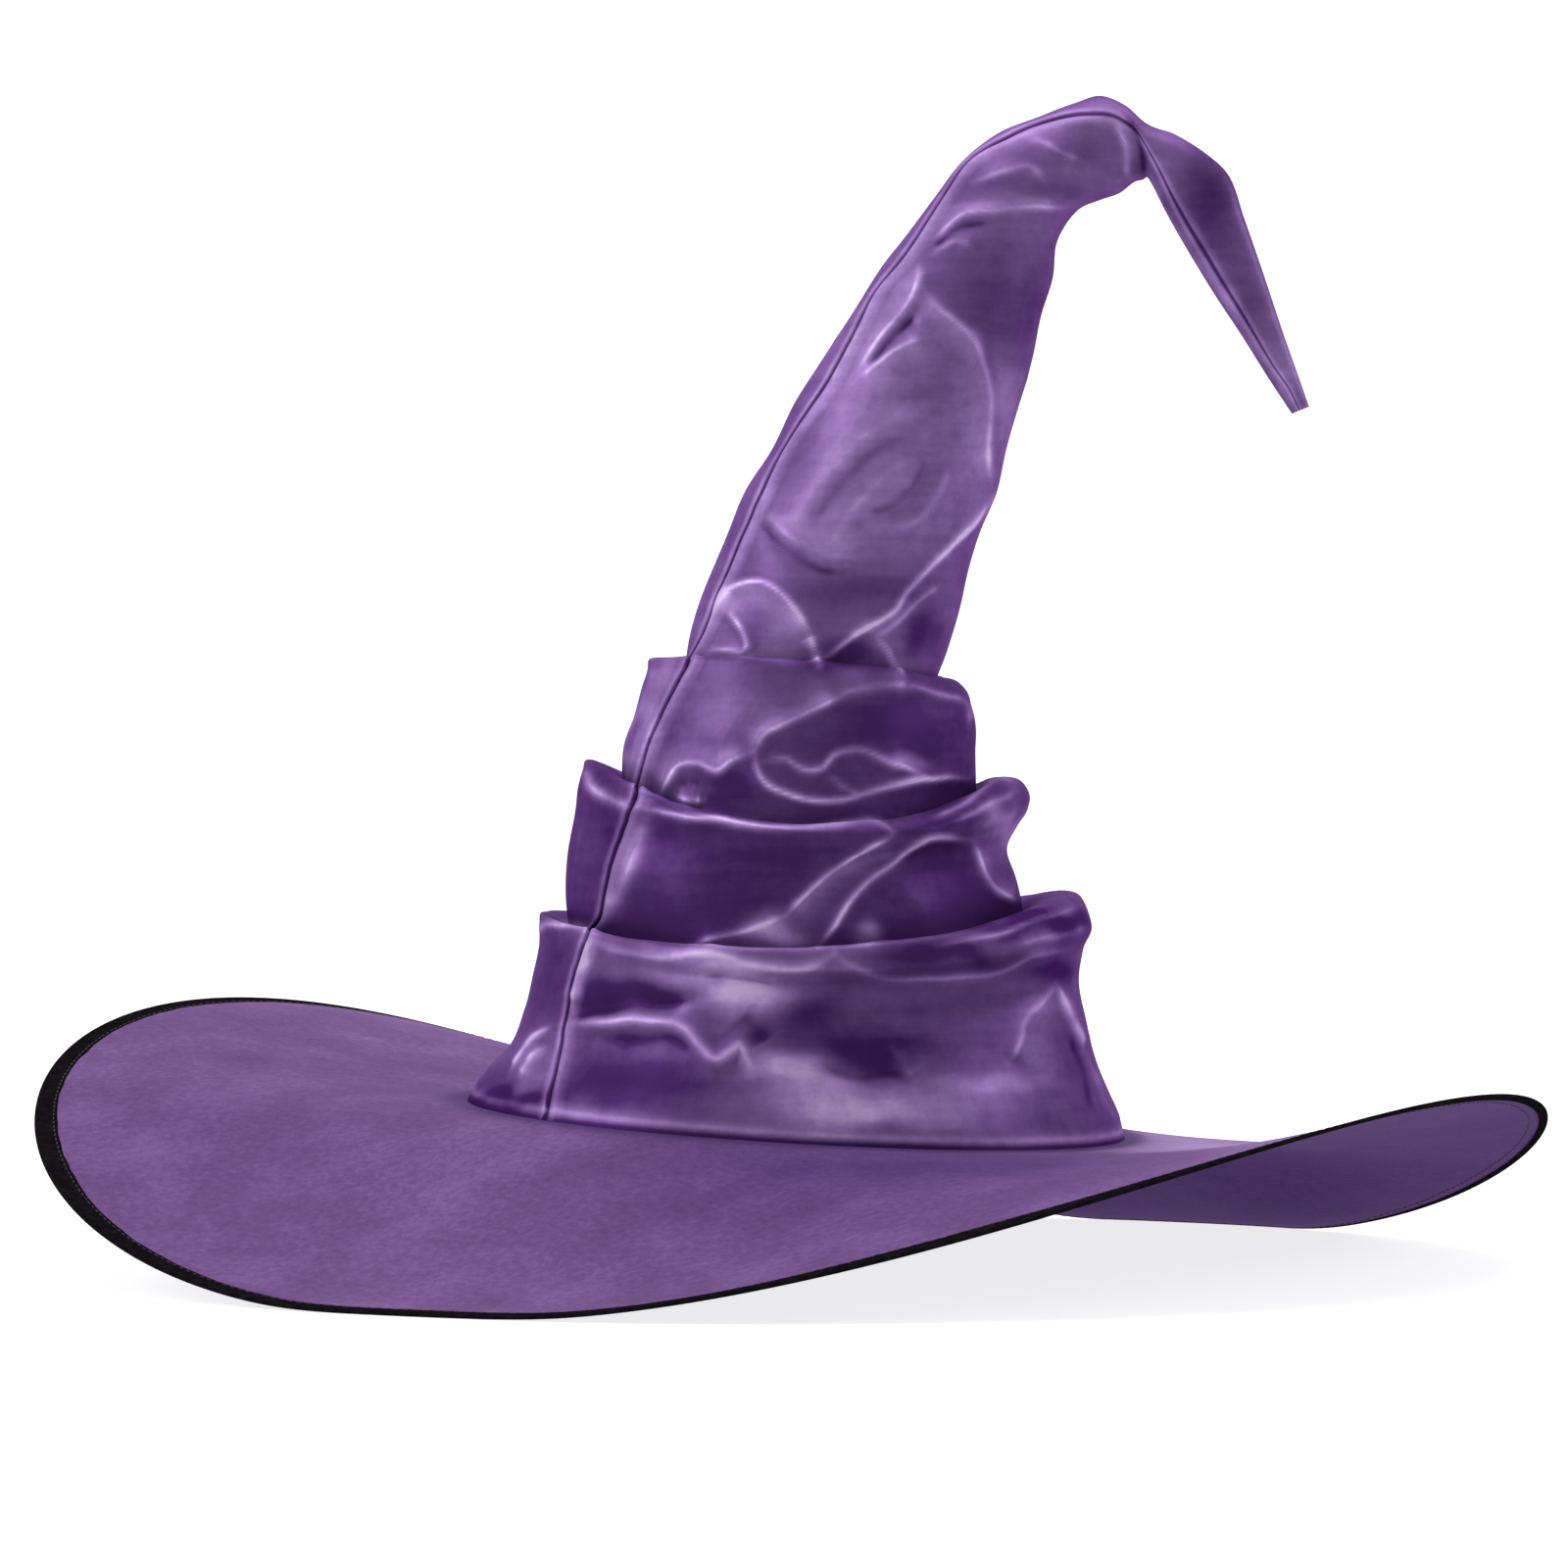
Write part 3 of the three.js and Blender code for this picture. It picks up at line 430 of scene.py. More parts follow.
class BrimProperties(bpy.types.PropertyGroup):
    width: length("Width", "Left to right, over the tape", 0.445)
    depth: length("Depth", "Front to back, over the tape", 0.44)
    mean_height: length("Mean height", "Of the edge, averaged all round", 0.0328)
    saddle_rise: length("Saddle rise", "Of the two lifted sides, and the fall of the two dipped ones", 0.0329)
    saddle_heading: heading("Saddle heading", "Of one lifted side", 146.9)
    lean: length("Lean", "How much higher the far left hangs than the near right", 0.0099)
    lean_heading: heading("Lean heading", "The side that the brim leans up towards", 141)
    wave: length("Wave", "Height of a slight three-fold wave in the edge", 0.0018)
    wave_heading: heading("Wave heading", "Of one crest of the wave", 115)
    sweep: factor("Sweep", "Above 1 the brim leaves the seat flat and steepens outwards", 1.5, 4.0)
    rest_blend: length("Rest blend", "How softly the dipped edge flattens where it rests", 0.0014)
    thickness: length("Thickness", "Of the brim's cloth", 0.0007)
    seat_height: length("Seat height", "Of the plane that the crown is sewn down on", 0.043)
    seat_fall_right: factor("Seat fall right", "Fall of the seat for each length to the right", 0.058)
    seat_fall_front: factor("Seat fall front", "Fall of the seat for each length to the front", 0.027)
    seat_margin: length("Seat margin", "Flat brim outside the crown's hem", 0.004)
    seat_ledge: length("Seat ledge", "Brim inside the crown's wall", 0.002)
    cloth: tint("Cloth", "The brim's satin", 97, 69, 116)
    fleck: tint("Fleck", "Lighter flecks in the brim's satin", 113, 85, 132)
    # under is painted shade for the underside and the hem's shadow, and glow a painted highlight
    under: tint("Underside", "The brim's satin from below and in the hem's shade", 69, 45, 95)
    glow: tint("Glow", "Where the brim's satin catches the light", 178, 150, 200)


class TapeProperties(bpy.types.PropertyGroup):
    top_width: length("Top width", "Of the tape on top of the brim", 0.0066)
    under_width: length("Under width", "Of the tape under the brim", 0.0026)
    thickness: length("Thickness", "Of the tape", 0.00022)
    waver: length("Waver", "How far the tape's sewn edge strays", 0.0004)
    stitch_inward: length("Stitch place", "From the brim's edge in to the stitches", 0.0056)
    stitch_length: length("Stitch length", "Of one stitch", 0.0026)
    stitch_width: length("Stitch width", "Of the thread", 0.00045)
    stitch_count: IntProperty(name="Stitches", description="All round the brim", default=420, min=8)
    cloth: tint("Cloth", "The tape", 14, 12, 15)
    thread: tint("Thread", "On top of the tape", 34, 31, 35)
    under_thread: tint("Under thread", "Under the brim", 52, 36, 68)


class HatProperties(bpy.types.PropertyGroup):
    crown: PointerProperty(type=CrownProperties)
    brim: PointerProperty(type=BrimProperties)
    tape: PointerProperty(type=TapeProperties)


# ---------------------------------------------------------------- plain helpers


def smoothstep(value, low, high):
    share = np.clip((value - low) / (high - low), 0, 1)
    return share * share * (3 - 2 * share)


def lerp(a, b, share):
    return a + (b - a) * share


def bell(value, middle, width):
    return np.exp(-(((value - middle) / width) ** 2))


def scene_hat(context):
    return context.scene.satin_hat


def new_piece(name, mesh, *materials):
    """Puts a finished mesh in the scene at the origin."""
    mesh.name = name
    for material in materials:
        mesh.materials.append(material)
    piece = bpy.data.objects.new(name, mesh)
    bpy.context.scene.collection.objects.link(piece)
    return piece


def closed_mesh(name, points, faces):
    """A smooth closed mesh whose faces point outwards."""
    mesh = bpy.data.meshes.new(name)
    mesh.from_pydata([tuple(point) for point in points], [], faces)
    shape = bmesh.new()
    shape.from_mesh(mesh)
    bmesh.ops.recalc_face_normals(shape, faces=shape.faces)
    shape.to_mesh(mesh)
    shape.free()
    mesh.shade_smooth()
    mesh.set_sharp_from_angle(angle=math.radians(60))
    return mesh


# ---------------------------------------------------------------- the crown


def seat_plane(crown, brim, x, y):
    return brim.seat_height - brim.seat_fall_right * (x - crown.shift) + brim.seat_fall_front * y


def curve_point(start, end, start_slope, end_slope, t):
    """The point at a share t of a smooth curve between two points with given slopes."""
    h00, h10 = (1 + 2 * t) * (1 - t) ** 2, t * (1 - t) ** 2
    h01, h11 = t * t * (3 - 2 * t), t * t * (t - 1)
    return h00 * start + h10 * start_slope + h01 * end + h11 * end_slope


def dense_rows(rows, spacing):
    """Rows of numbers made dense by a smooth curve through them.

    Returns the dense rows and, for each, its place on the run of given rows."""
    rows = np.array(rows)
    steps = np.hypot(np.diff(rows[:, 0]), np.diff(rows[:, 1])) + np.hypot(np.diff(rows[:, 2]), np.diff(rows[:, 3]))
    knots = np.concatenate(([0], np.cumsum(steps / 2)))
    slopes = np.gradient(rows, knots, axis=0)
    dense, places = [], []
    for i in range(len(rows) - 1):
        gap = knots[i + 1] - knots[i]
        count = max(2, round(gap / spacing))
        for k in range(count):
            dense.append(curve_point(rows[i], rows[i + 1], gap * slopes[i], gap * slopes[i + 1], k / count))
            places.append(i + k / count)
    dense.append(rows[-1])
    places.append(len(rows) - 1)
    return np.array(dense), np.array(places)


def section_rows(crown, first, last):
    """Names and rows of the table from one section to another, in metres.

    Where the crown's pieces meet, the lower one ends deep in the groove and the upper one starts just inside it."""
    names = [row[0] for row in CROWN_SECTIONS]
    half_width, half_depth, high = crown.base_width / 2, crown.base_depth / 2, crown.height
    scale = np.array([half_width, high, half_width, high, half_depth, high, half_width])
    chosen = slice(names.index(first), names.index(last) + 1)
    rows = [np.array(row[1:]) * scale for row in CROWN_SECTIONS[chosen]]
    lower = np.array([0, 1, 0, 1, 0, 0, 0]) * crown.tuck_depth
    inside = np.array([1, 0, -1, 0, -1, 0, 0]) * crown.tuck_gap
    if last.endswith("_groove"):
        rows[-1] = rows[-1] - lower
    if first.endswith("_groove"):
        rows[0] = rows[0] - lower * 1.25 + inside  # deeper still, so that no gap shows
    return names[chosen], rows


def ring_points(crown, brim, rows, angles):
    """Points of every row at its own angles: 0 is the row's right point, three quarters of a turn its front."""
    left, left_up, right, right_up, depth, sag, forward = (column[:, None] for column in rows.T)
    towards_right = (1 + np.cos(angles)) / 2
    x = crown.shift + lerp(left, right, towards_right)
    y = depth * np.sin(angles) - forward
    up = lerp(left_up, right_up, towards_right) - sag * np.sin(angles) ** 2
    return np.stack([x, y, seat_plane(crown, brim, x, y) + SEAT_GAP + up], axis=-1)


def ring_normals(points):
    around = np.roll(points, -1, axis=1) - np.roll(points, 1, axis=1)
    upwards = np.gradient(points, axis=0)
    normals = np.cross(around, upwards)
    return normals / np.maximum(np.linalg.norm(normals, axis=-1, keepdims=True), 1e-12)


def in_picture(points):
    """Where the camera sees each point, in pixels right and down."""
    away = points[..., 1] - CAMERA_PLACE.y
    right = PICTURE_SIZE / 2 + PICTURE_FOCAL * (points[..., 0] - CAMERA_PLACE.x) / away
    down = PICTURE_SIZE / 2 - PICTURE_FOCAL * (points[..., 2] - CAMERA_PLACE.z) / away
    return np.stack([right, down], axis=-1)


def distance_to_line(places, line):
    """For every place its distance from a line of points, below 0 on the line's left-hand side, and the share of the
    line's length at the nearest point."""
    line = np.array(line, float)
    lengths = np.hypot(*np.diff(line, axis=0).T)
    starts = np.concatenate(([0], np.cumsum(lengths)))
    nearest = np.full(places.shape[:-1], np.inf)
    side = np.ones(places.shape[:-1])
    along = np.zeros(places.shape[:-1])
    for i, reach in enumerate(lengths):
        step = line[i + 1] - line[i]
        offset = places - line[i]
        share = np.clip((offset @ step) / reach**2, 0, 1)
        distance = np.linalg.norm(offset - share[..., None] * step, axis=-1)
        closer = distance < nearest
        nearest = np.where(closer, distance, nearest)
        side = np.where(closer, step[0] * offset[..., 1] - step[1] * offset[..., 0], side)
        along = np.where(closer, starts[i] + share * reach, along)
    return nearest * np.sign(side), along / starts[-1]


def smooth_line(line, steps=6):
    """The line rounded through its points."""
    line = np.array(line, float)
    if len(line) < 3:
        return line
    slopes = np.gradient(line, axis=0)
    rounded = [
        curve_point(line[i], line[i + 1], slopes[i], slopes[i + 1], step / steps)
        for i in range(len(line) - 1)
        for step in range(steps)
    ]
    return np.array([*rounded, line[-1]])


def fold_fields(places, facing, folds):
    """Height in millimetres and painted light and shade that a list of folds gives to every point that faces its way.
    """
    height = np.zeros(facing.shape)
    tone = np.zeros(facing.shape)
    for _, rise, width, gleam, skirt, line in folds:
        line = smooth_line(line)
        margin = max(3 * width, 2.5 * abs(skirt))
        low, high = line.min(axis=0) - margin, line.max(axis=0) + margin
        near = (facing > FOLD_TURNED_AWAY[0]) & np.all((places > low) & (places < high), axis=-1)
        signed, along = distance_to_line(places[near], line)
        distance = np.abs(signed)
        fade = 0.25 + 0.75 * smoothstep(along, 0, FOLD_ENDS) * smoothstep(1 - along, 0, FOLD_ENDS)
        fade *= smoothstep(facing[near], *FOLD_TURNED_AWAY)
        fade *= 0.88 + 0.2 * np.cos(11 * along + 2 * rise)  # no fold is even along its length
        height[near] += rise * fade * np.exp(-((distance / width) ** 1.7))
        # Painted highlight along the fold's top, with a skirt of painted light or painted shade beside it
        core = LINE_STRENGTH * np.exp(-((distance / max(LINE_WIDTH * width, LEAST_LINE)) ** 1.6))
        if skirt:
            on_side = smoothstep(signed * np.sign(skirt), -2, 2)
            beside = on_side * np.exp(-((distance / abs(skirt)) ** 1.4))
            core = np.maximum(core, SKIRT_STRENGTH * beside)
        tone[near] += gleam * fade * core
    return height, tone


# Painted pools of light and painted shade at the crown's listed places
def broad_painted_light(places):
    tone = np.zeros(places.shape[:-1])
    for _, right, down, half_width, half_height, amount in CROWN_PAINTED_LIGHT:
        apart = (places - (right, down)) / (half_width, half_height)
        tone += amount * np.exp(-((apart**2).sum(axis=-1) ** 1.2))
    return tone


def seam_angles(crown, brim, rows):
    """The angle at which the seam crosses each ring, on the front half."""
    trial = np.linspace(math.pi * 1.02, TURN * 0.98, 160)
    points = ring_points(crown, brim, rows, np.broadcast_to(trial, (len(rows), len(trial))))
    distance, _ = distance_to_line(in_picture(points), smooth_line(SEAM_LINE))
    found = trial[np.argmin(np.abs(distance), axis=1)]
    window = np.hanning(SEAM_SMOOTHING)
    padded = np.pad(found, SEAM_SMOOTHING // 2, mode="edge")
    return np.convolve(padded, window / window.sum(), mode="valid")


def column_angles(crown, brim, rows, columns):
    """Angles of the crown's columns on every ring: a few close to the seam, and the rest closer on the front."""
    seam = seam_angles(crown, brim, rows)
    offsets = np.array([row[0] for row in SEAM_PROFILE]) * MM
    half_across = np.abs(rows[:, 2] - rows[:, 0]) / 2
    reach = np.hypot(half_across * np.sin(seam), rows[:, 4] * np.cos(seam))
    widest = 0.5  # radians that the seam's columns take up on each side, at most
    reach = np.maximum(reach, offsets[-1] / widest)
    near = seam[:, None] + offsets / reach[:, None]
    others = columns - len(offsets)
    shares = np.arange(1, others + 1) / (others + 1)
    turned = np.linspace(0, 2 * TURN, 2000)
    passed = 1.3 * turned + 0.55 * np.cos(turned)  # columns passed up to each angle, most at the front
    start = np.interp(near[:, -1:], turned, passed)
    end = np.interp(near[:, :1] + TURN, turned, passed)
    rest = np.interp(start + (end - start) * shares, passed, turned)
    return np.concatenate([near, rest], axis=1)


def crumple_field(points, scale, seed):
    flat = points.reshape(-1, 3) * scale
    offset = Vector((seed, 2.3 * seed, -1.7 * seed))
    values = [noise.noise(Vector(point) + offset) for point in flat]
    return np.array(values).reshape(points.shape[:-1])


def crown_surface(crown, brim, first, last, columns, spacing, flat_tone_and_painted_light):
    """Points of a crown piece's outer face, ring by ring, with the painted light and shade of the satin at each."""
    _, rows = section_rows(crown, first, last)
    rings, places = dense_rows(rows, spacing)
    angles = column_angles(crown, brim, rings, columns)
    base = ring_points(crown, brim, rings, angles)
    normals = ring_normals(base)
    seen = in_picture(base)
    stray = np.stack([crumple_field(base, *wave) for wave in STRAY_WAVES], axis=-1)
    strayed = seen + crown.line_stray * stray
    front_height, front_painted_light = fold_fields(strayed, -normals[..., 1], FRONT_FOLDS)
    back_height, back_painted_light = fold_fields(strayed, normals[..., 1], BACK_FOLDS)
    height = (front_height + back_height) * crown.fold_height
    tone = flat_tone_and_painted_light + front_painted_light + back_painted_light + broad_painted_light(seen + crown.painted_light_stray * stray)
    soft = sum(share * crumple_field(base, *wave) for *wave, share in SOFT_WAVES)
    ridged = 0.5 - np.abs(crumple_field(base, *RIDGED_WAVES))
    height += crown.crumple / MM * (1.4 * soft + 1.2 * ridged)
    # The crumples get painted light too: lighter where they stand higher and along their ridges
    tone += 0.05 * soft + 0.06 * (ridged - 0.3)
    width = np.abs(rings[:, 2] - rings[:, 0])[:, None]
    height *= smoothstep(width, 0.01, 0.05)
    if first == "hem_foot":  # the hem's foot lies flat, with a painted highlight on its turned edge and painted shade below it
        foot = smoothstep(places, 0.2, 1.6)[:, None]
        height *= foot
        tone += 0.3 * bell(places, 0.75, 0.32)[:, None] - 0.3 * bell(places, 0, 0.28)[:, None]
    else:  # painted shade at the foot of the wall behind a tuck
        foot = np.ones_like(width)
        tone -= 0.12 * bell(places, 0, 0.6)[:, None]
    seam = np.array(SEAM_PROFILE)
    small = smoothstep(width, 0.004, 0.04)
    height[:, : len(seam)] = height[:, : len(seam)] * 0.8 + seam[:, 1] * small * foot
    # Painted highlights beside the seam and painted shade in it
    tone[:, : len(seam)] += seam[:, 2] * (0.8 + 0.2 * small)
    return base + normals * (height * MM)[..., None], tone, angles


def lining_surface(crown, brim, first, last, spacing, angles):
    """Points of a crown piece's inner face, on every few of its columns. It passes the tucks by."""
    names, rows = section_rows(crown, first, CAVITY_END if last == "tip_end" else last)
    kept = [row for name, row in zip(names, rows) if name.startswith("hem") or not name.endswith(TUCKED_IN)]
    rings, places = dense_rows(kept, LINING_STEP * spacing)
    columns = angles[0, ::LINING_STEP]
    base = ring_points(crown, brim, rings, np.broadcast_to(columns, (len(rings), len(columns))))
    normals = ring_normals(base)
    normals[[0, -1], :, 2] = 0
    normals /= np.maximum(np.linalg.norm(normals, axis=-1, keepdims=True), 1e-12)
    grown = 1 if first != "hem_foot" else smoothstep(places, 0.5, 4)[:, None, None]
    deeper = lerp(crown.wall, LINING_DEPTH * crown.wall, grown)
    widest = (np.abs(rings[:, 2] - rings[:, 0]) / 4)[:, None, None]
    return base - normals * np.minimum(deeper, widest)


def ring_strip(faces, outer_start, columns, inner_start, inner_columns):
    """Faces between a ring of the outer face and a ring of the inner one, which has fewer columns."""
    halfway = LINING_STEP // 2
    for j in range(inner_columns):
        here, there = inner_start + j, inner_start + (j + 1) % inner_columns
        steps = [outer_start + (LINING_STEP * j + step) % columns for step in range(LINING_STEP + 1)]
        for step in range(LINING_STEP):
            corner = here if step < halfway else there
            faces.append((corner, steps[step + 1], steps[step]))
        faces.append((here, there, steps[halfway]))


def crown_mesh(crown, brim, name, first, last, columns, spacing, flat_tone_and_painted_light):
    spacing *= MM
    outer, tone, angles = crown_surface(crown, brim, first, last, columns, spacing, flat_tone_and_painted_light)
    inner = lining_surface(crown, brim, first, last, spacing, angles)
    rings = len(outer)
    inner_rings, inner_columns = inner.shape[:2]
    ends = [outer[-1].mean(axis=0), inner[-1].mean(axis=0)] if last == "tip_end" else []
    points = np.concatenate([outer.reshape(-1, 3), inner.reshape(-1, 3), *([end] for end in ends)])
    start = rings * columns
    faces = []
    for i in range(rings - 1):
        for j in range(columns):
            k = (j + 1) % columns
            faces.append((i * columns + j, i * columns + k, (i + 1) * columns + k, (i + 1) * columns + j))
    for i in range(inner_rings - 1):
        low, high = start + i * inner_columns, start + (i + 1) * inner_columns
        for j in range(inner_columns):
            k = (j + 1) % inner_columns
            faces.append((low + j, high + j, high + k, low + k))
    ring_strip(faces, 0, columns, start, inner_columns)
    last_outer, last_inner = (rings - 1) * columns, start + (inner_rings - 1) * inner_columns
    if ends:
        faces += [(last_outer + j, last_outer + (j + 1) % columns, len(points) - 2) for j in range(columns)]
        faces += [(last_inner + (j + 1) % inner_columns, last_inner + j, len(points) - 1) for j in range(inner_columns)]
    else:
        ring_strip(faces, last_outer, columns, last_inner, inner_columns)
    mesh = closed_mesh(name, points, faces)
    # The painted light and shade of the outer face, kept on the points for the material
    values = np.full(len(points), flat_tone_and_painted_light, np.float32)
    values[:start] = tone.ravel()
    layer = mesh.attributes.new("tone", "FLOAT", "POINT")
    layer.data.foreach_set("value", values)
    return mesh


# ---------------------------------------------------------------- node helpers


class Field:
    """A value in a node tree that ordinary arithmetic adds Math nodes to."""

    def __init__(self, tree, socket):
        self.tree = tree
        self.socket = socket

    def math(self, operation, *others):
        node = self.tree.nodes.new("ShaderNodeMath")
        node.operation = operation
        for place, value in zip(node.inputs, (self, *others)):
            if isinstance(value, Field):
                self.tree.links.new(value.socket, place)
            else:
                place.default_value = value
        return Field(self.tree, node.outputs[0])

    def __add__(self, other):
        return self.math("ADD", other)

    def __sub__(self, other):
        return self.math("SUBTRACT", other)

    def __mul__(self, other):
        return self.math("MULTIPLY", other)

    def __truediv__(self, other):
        return self.math("DIVIDE", other)

    __radd__ = __add__
    __rmul__ = __mul__

    def __rsub__(self, other):
        return -self + other

    def __neg__(self):
        return self.math("MULTIPLY", -1)

    def __pow__(self, other):
        return self.math("POWER", other)

    def cos(self):
        return self.math("COSINE")

    def sin(self):
        return self.math("SINE")

    def root(self):
        return self.math("SQRT")

    def at_least(self, other):
        return self.math("MAXIMUM", other)

    def toward(self, other, share):
        return self + (other - self) * share


class NodeMaker:
    """Adds and links the nodes of self.tree."""

    def node(self, kind, **settings):
        node = self.tree.nodes.new(kind)
        for name, value in settings.items():
            setattr(node, name, value)
        return node

    def link(self, source, target):
        self.tree.links.new(getattr(source, "socket", source), target)


class HatTree(NodeMaker):
    """A Geometry Nodes tree whose sizes are named inputs."""

    def __init__(self, name):
        self.tree = bpy.data.node_groups.new(name, "GeometryNodeTree")
        self.tree.interface.new_socket(name="Geometry", in_out="INPUT", socket_type="NodeSocketGeometry")
        self.tree.interface.new_socket(name="Geometry", in_out="OUTPUT", socket_type="NodeSocketGeometry")
        self.values = {}
        self.group_input = self.tree.nodes.new("NodeGroupInput")
        self.group_output = self.tree.nodes.new("NodeGroupOutput")

    def size(self, name, value):
        """A named input, set on the modifier to this value."""
        kind = "NodeSocketInt" if isinstance(value, int) else "NodeSocketFloat"
        socket = self.tree.interface.new_socket(name=name, in_out="INPUT", socket_type=kind)
        self.values[socket.identifier] = value
        return Field(self.tree, self.group_input.outputs[name])

    def material(self, name, material):
        socket = self.tree.interface.new_socket(name=name, in_out="INPUT", socket_type="NodeSocketMaterial")
        self.values[socket.identifier] = material
        return self.group_input.outputs[name]

    def vector(self, x, y, z):
        node = self.node("ShaderNodeCombineXYZ")
        for place, value in zip(node.inputs, (x, y, z)):
            if isinstance(value, Field):
                self.link(value, place)
            else:
                place.default_value = value
        return node.outputs[0]

    def start_place(self):
        """The three coordinates of every point as it comes into the tree."""
        split = self.node("ShaderNodeSeparateXYZ")
        self.link(self.node("GeometryNodeInputPosition").outputs[0], split.inputs[0])
        return [Field(self.tree, socket) for socket in split.outputs]

    def uneven(self, vector, scale, detail):
        """Smooth noise about 0."""
        node = self.node("ShaderNodeTexNoise", noise_dimensions="3D")
        node.inputs["Scale"].default_value = scale
        node.inputs["Detail"].default_value = detail
        self.link(vector, node.inputs["Vector"])
        return Field(self.tree, node.outputs[0]) - 0.5

    def move(self, geometry, place):
        node = self.node("GeometryNodeSetPosition")
        self.link(geometry, node.inputs["Geometry"])
        self.link(place, node.inputs["Position"])
        return node.outputs[0]

    def vector_math(self, operation, first, second):
        node = self.node("ShaderNodeVectorMath", operation=operation)
        self.link(first, node.inputs[0])
        self.link(second, node.inputs[1])
        return node.outputs[0]

    def mark(self, geometry, name, value):
        """Keeps a value of every point under a name that a material reads."""
        node = self.node("GeometryNodeStoreNamedAttribute", data_type="FLOAT", domain="POINT")
        node.inputs["Name"].default_value = name
        self.link(geometry, node.inputs["Geometry"])
        self.link(value, node.inputs["Value"])
        return node.outputs[0]

    def finish(self, geometry, material):
        """Ends the tree: instances become real, and everything gets its material."""
        realize = self.node("GeometryNodeRealizeInstances")
        paint = self.node("GeometryNodeSetMaterial")
        smooth = self.node("GeometryNodeSetShadeSmooth")
        self.link(geometry, smooth.inputs["Geometry"])
        self.link(smooth.outputs[0], realize.inputs[0])
        self.link(realize.outputs[0], paint.inputs["Geometry"])
        self.link(material, paint.inputs["Material"])
        self.link(paint.outputs[0], self.group_output.inputs[0])

    def run_on(self, name, mesh):
        """The tree's result on a mesh, as a plain mesh."""
        carrier = bpy.data.objects.new(name + "_source", mesh)
        bpy.context.scene.collection.objects.link(carrier)
        modifier = carrier.modifiers.new(name, "NODES")
        modifier.node_group = self.tree
        for identifier, value in self.values.items():
            modifier[identifier] = value
        evaluated = carrier.evaluated_get(bpy.context.evaluated_depsgraph_get())
        result = bpy.data.meshes.new_from_object(evaluated)
        carrier.modifiers.remove(modifier)
        bpy.data.objects.remove(carrier)
        return result


# The brim's properties that its rule takes as they are
BRIM_INPUTS = (
    "mean_height",
    "saddle_rise",
    "saddle_heading",
    "lean",
    "lean_heading",
    "wave",
    "wave_heading",
    "sweep",
    "rest_blend",
    "seat_height",
    "seat_fall_right",
    "seat_fall_front",
)


class BrimRule:
    """The brim's surface as nodes: a place on it from a heading and a distance in from the edge."""

    def __init__(self, hat_tree, crown, brim):
        self.made = hat_tree
        size = hat_tree.size
        foot, edge = CROWN_SECTIONS[0], CROWN_SECTIONS[1]
        self.half_width = size("Half width", brim.width / 2)
        self.half_depth = size("Half depth", brim.depth / 2)
        for name in BRIM_INPUTS:
            setattr(self, name, size(name.replace("_", " ").capitalize(), getattr(brim, name)))
        self.half_edge = size("Half edge height", EDGE_HALF)
        self.shift = size("Shift", crown.shift)
        self.seat_across = size("Seat half width", edge[3] * crown.base_width / 2 + brim.seat_margin)
        self.seat_along = size("Seat half depth", edge[5] * crown.base_depth / 2 + brim.seat_margin)
        inside = crown.wall + brim.seat_ledge
        self.hole_across = size("Opening half width", foot[3] * crown.base_width / 2 - inside)
        self.hole_along = size("Opening half depth", foot[5] * crown.base_depth / 2 - inside)

    def seat(self, x, y):
        return self.seat_height - self.seat_fall_right * (x - self.shift) + self.seat_fall_front * y

    def edge_height(self, heading):
        free = (
            self.mean_height
            + self.saddle_rise * ((heading - self.saddle_heading) * 2).cos()
            + self.lean * (heading - self.lean_heading).cos()
            + self.wave * ((heading - self.wave_heading) * 3).cos()
        )
        above = free - self.half_edge
        settled = (above + (above * above + self.rest_blend * self.rest_blend).root()) / 2 - self.rest_blend / 4
        return self.half_edge + settled.at_least(0)

    def place(self, heading, inward, rise):
        """A point of the middle surface moved up by rise. inward is measured from the edge."""
        cosine, sine = heading.cos(), heading.sin()
        across, along = cosine / self.half_width, sine / self.half_depth
        reach = (across * across + along * along) ** -0.5
        edge_x, edge_y = reach * cosine, reach * sine
        seat_x, seat_y = self.shift + self.seat_across * cosine, self.seat_along * sine
        step_x, step_y = edge_x - seat_x, edge_y - seat_y
        span = (step_x * step_x + step_y * step_y).root()
        share = (span - inward).at_least(0) / span
        x, y = seat_x + step_x * share, seat_y + step_y * share
        # Inside the seat's outline the same step leads in towards the head opening.
        extra = (inward - span).at_least(0)
        hole_x, hole_y = self.shift + self.hole_across * cosine, self.hole_along * sine
        gap_x, gap_y = hole_x - seat_x, hole_y - seat_y
        depth = (gap_x * gap_x + gap_y * gap_y).root()
        part = (extra / depth).math("MINIMUM", 1)
        x, y = x + gap_x * part, y + gap_y * part
        edge_z = self.edge_height(heading)
        fall = (self.seat(edge_x, edge_y) - edge_z) / self.saddle_rise
        fall = fall.at_least(0).math("MINIMUM", 1)
        flattening = self.sweep * fall * fall * (3 - 2 * fall)
        swing = share**self.sweep * (1 + flattening * (1 - share))
        seat_z = self.seat(x, y) - FRAME_HALF
        z = seat_z.toward(edge_z, swing) + rise
        return x, y, z.at_least(0), share


# ---------------------------------------------------------------- the brim and its tape


def ring_of_sections(name, section, headings):
    """A closed tube whose points are (heading, inward, rise) and whose sections are alike."""
    points = [(TURN * i / headings, inward, rise) for i in range(headings) for inward, rise in section]
    count = len(section)
    faces = []
    for i in range(headings):
        here, there = i * count, (i + 1) % headings * count
        for j in range(count):
            k = (j + 1) % count
            faces.append((here + j, there + j, there + k, here + k))
    mesh = bpy.data.meshes.new(name)
    mesh.from_pydata(points, [], faces)
    return mesh


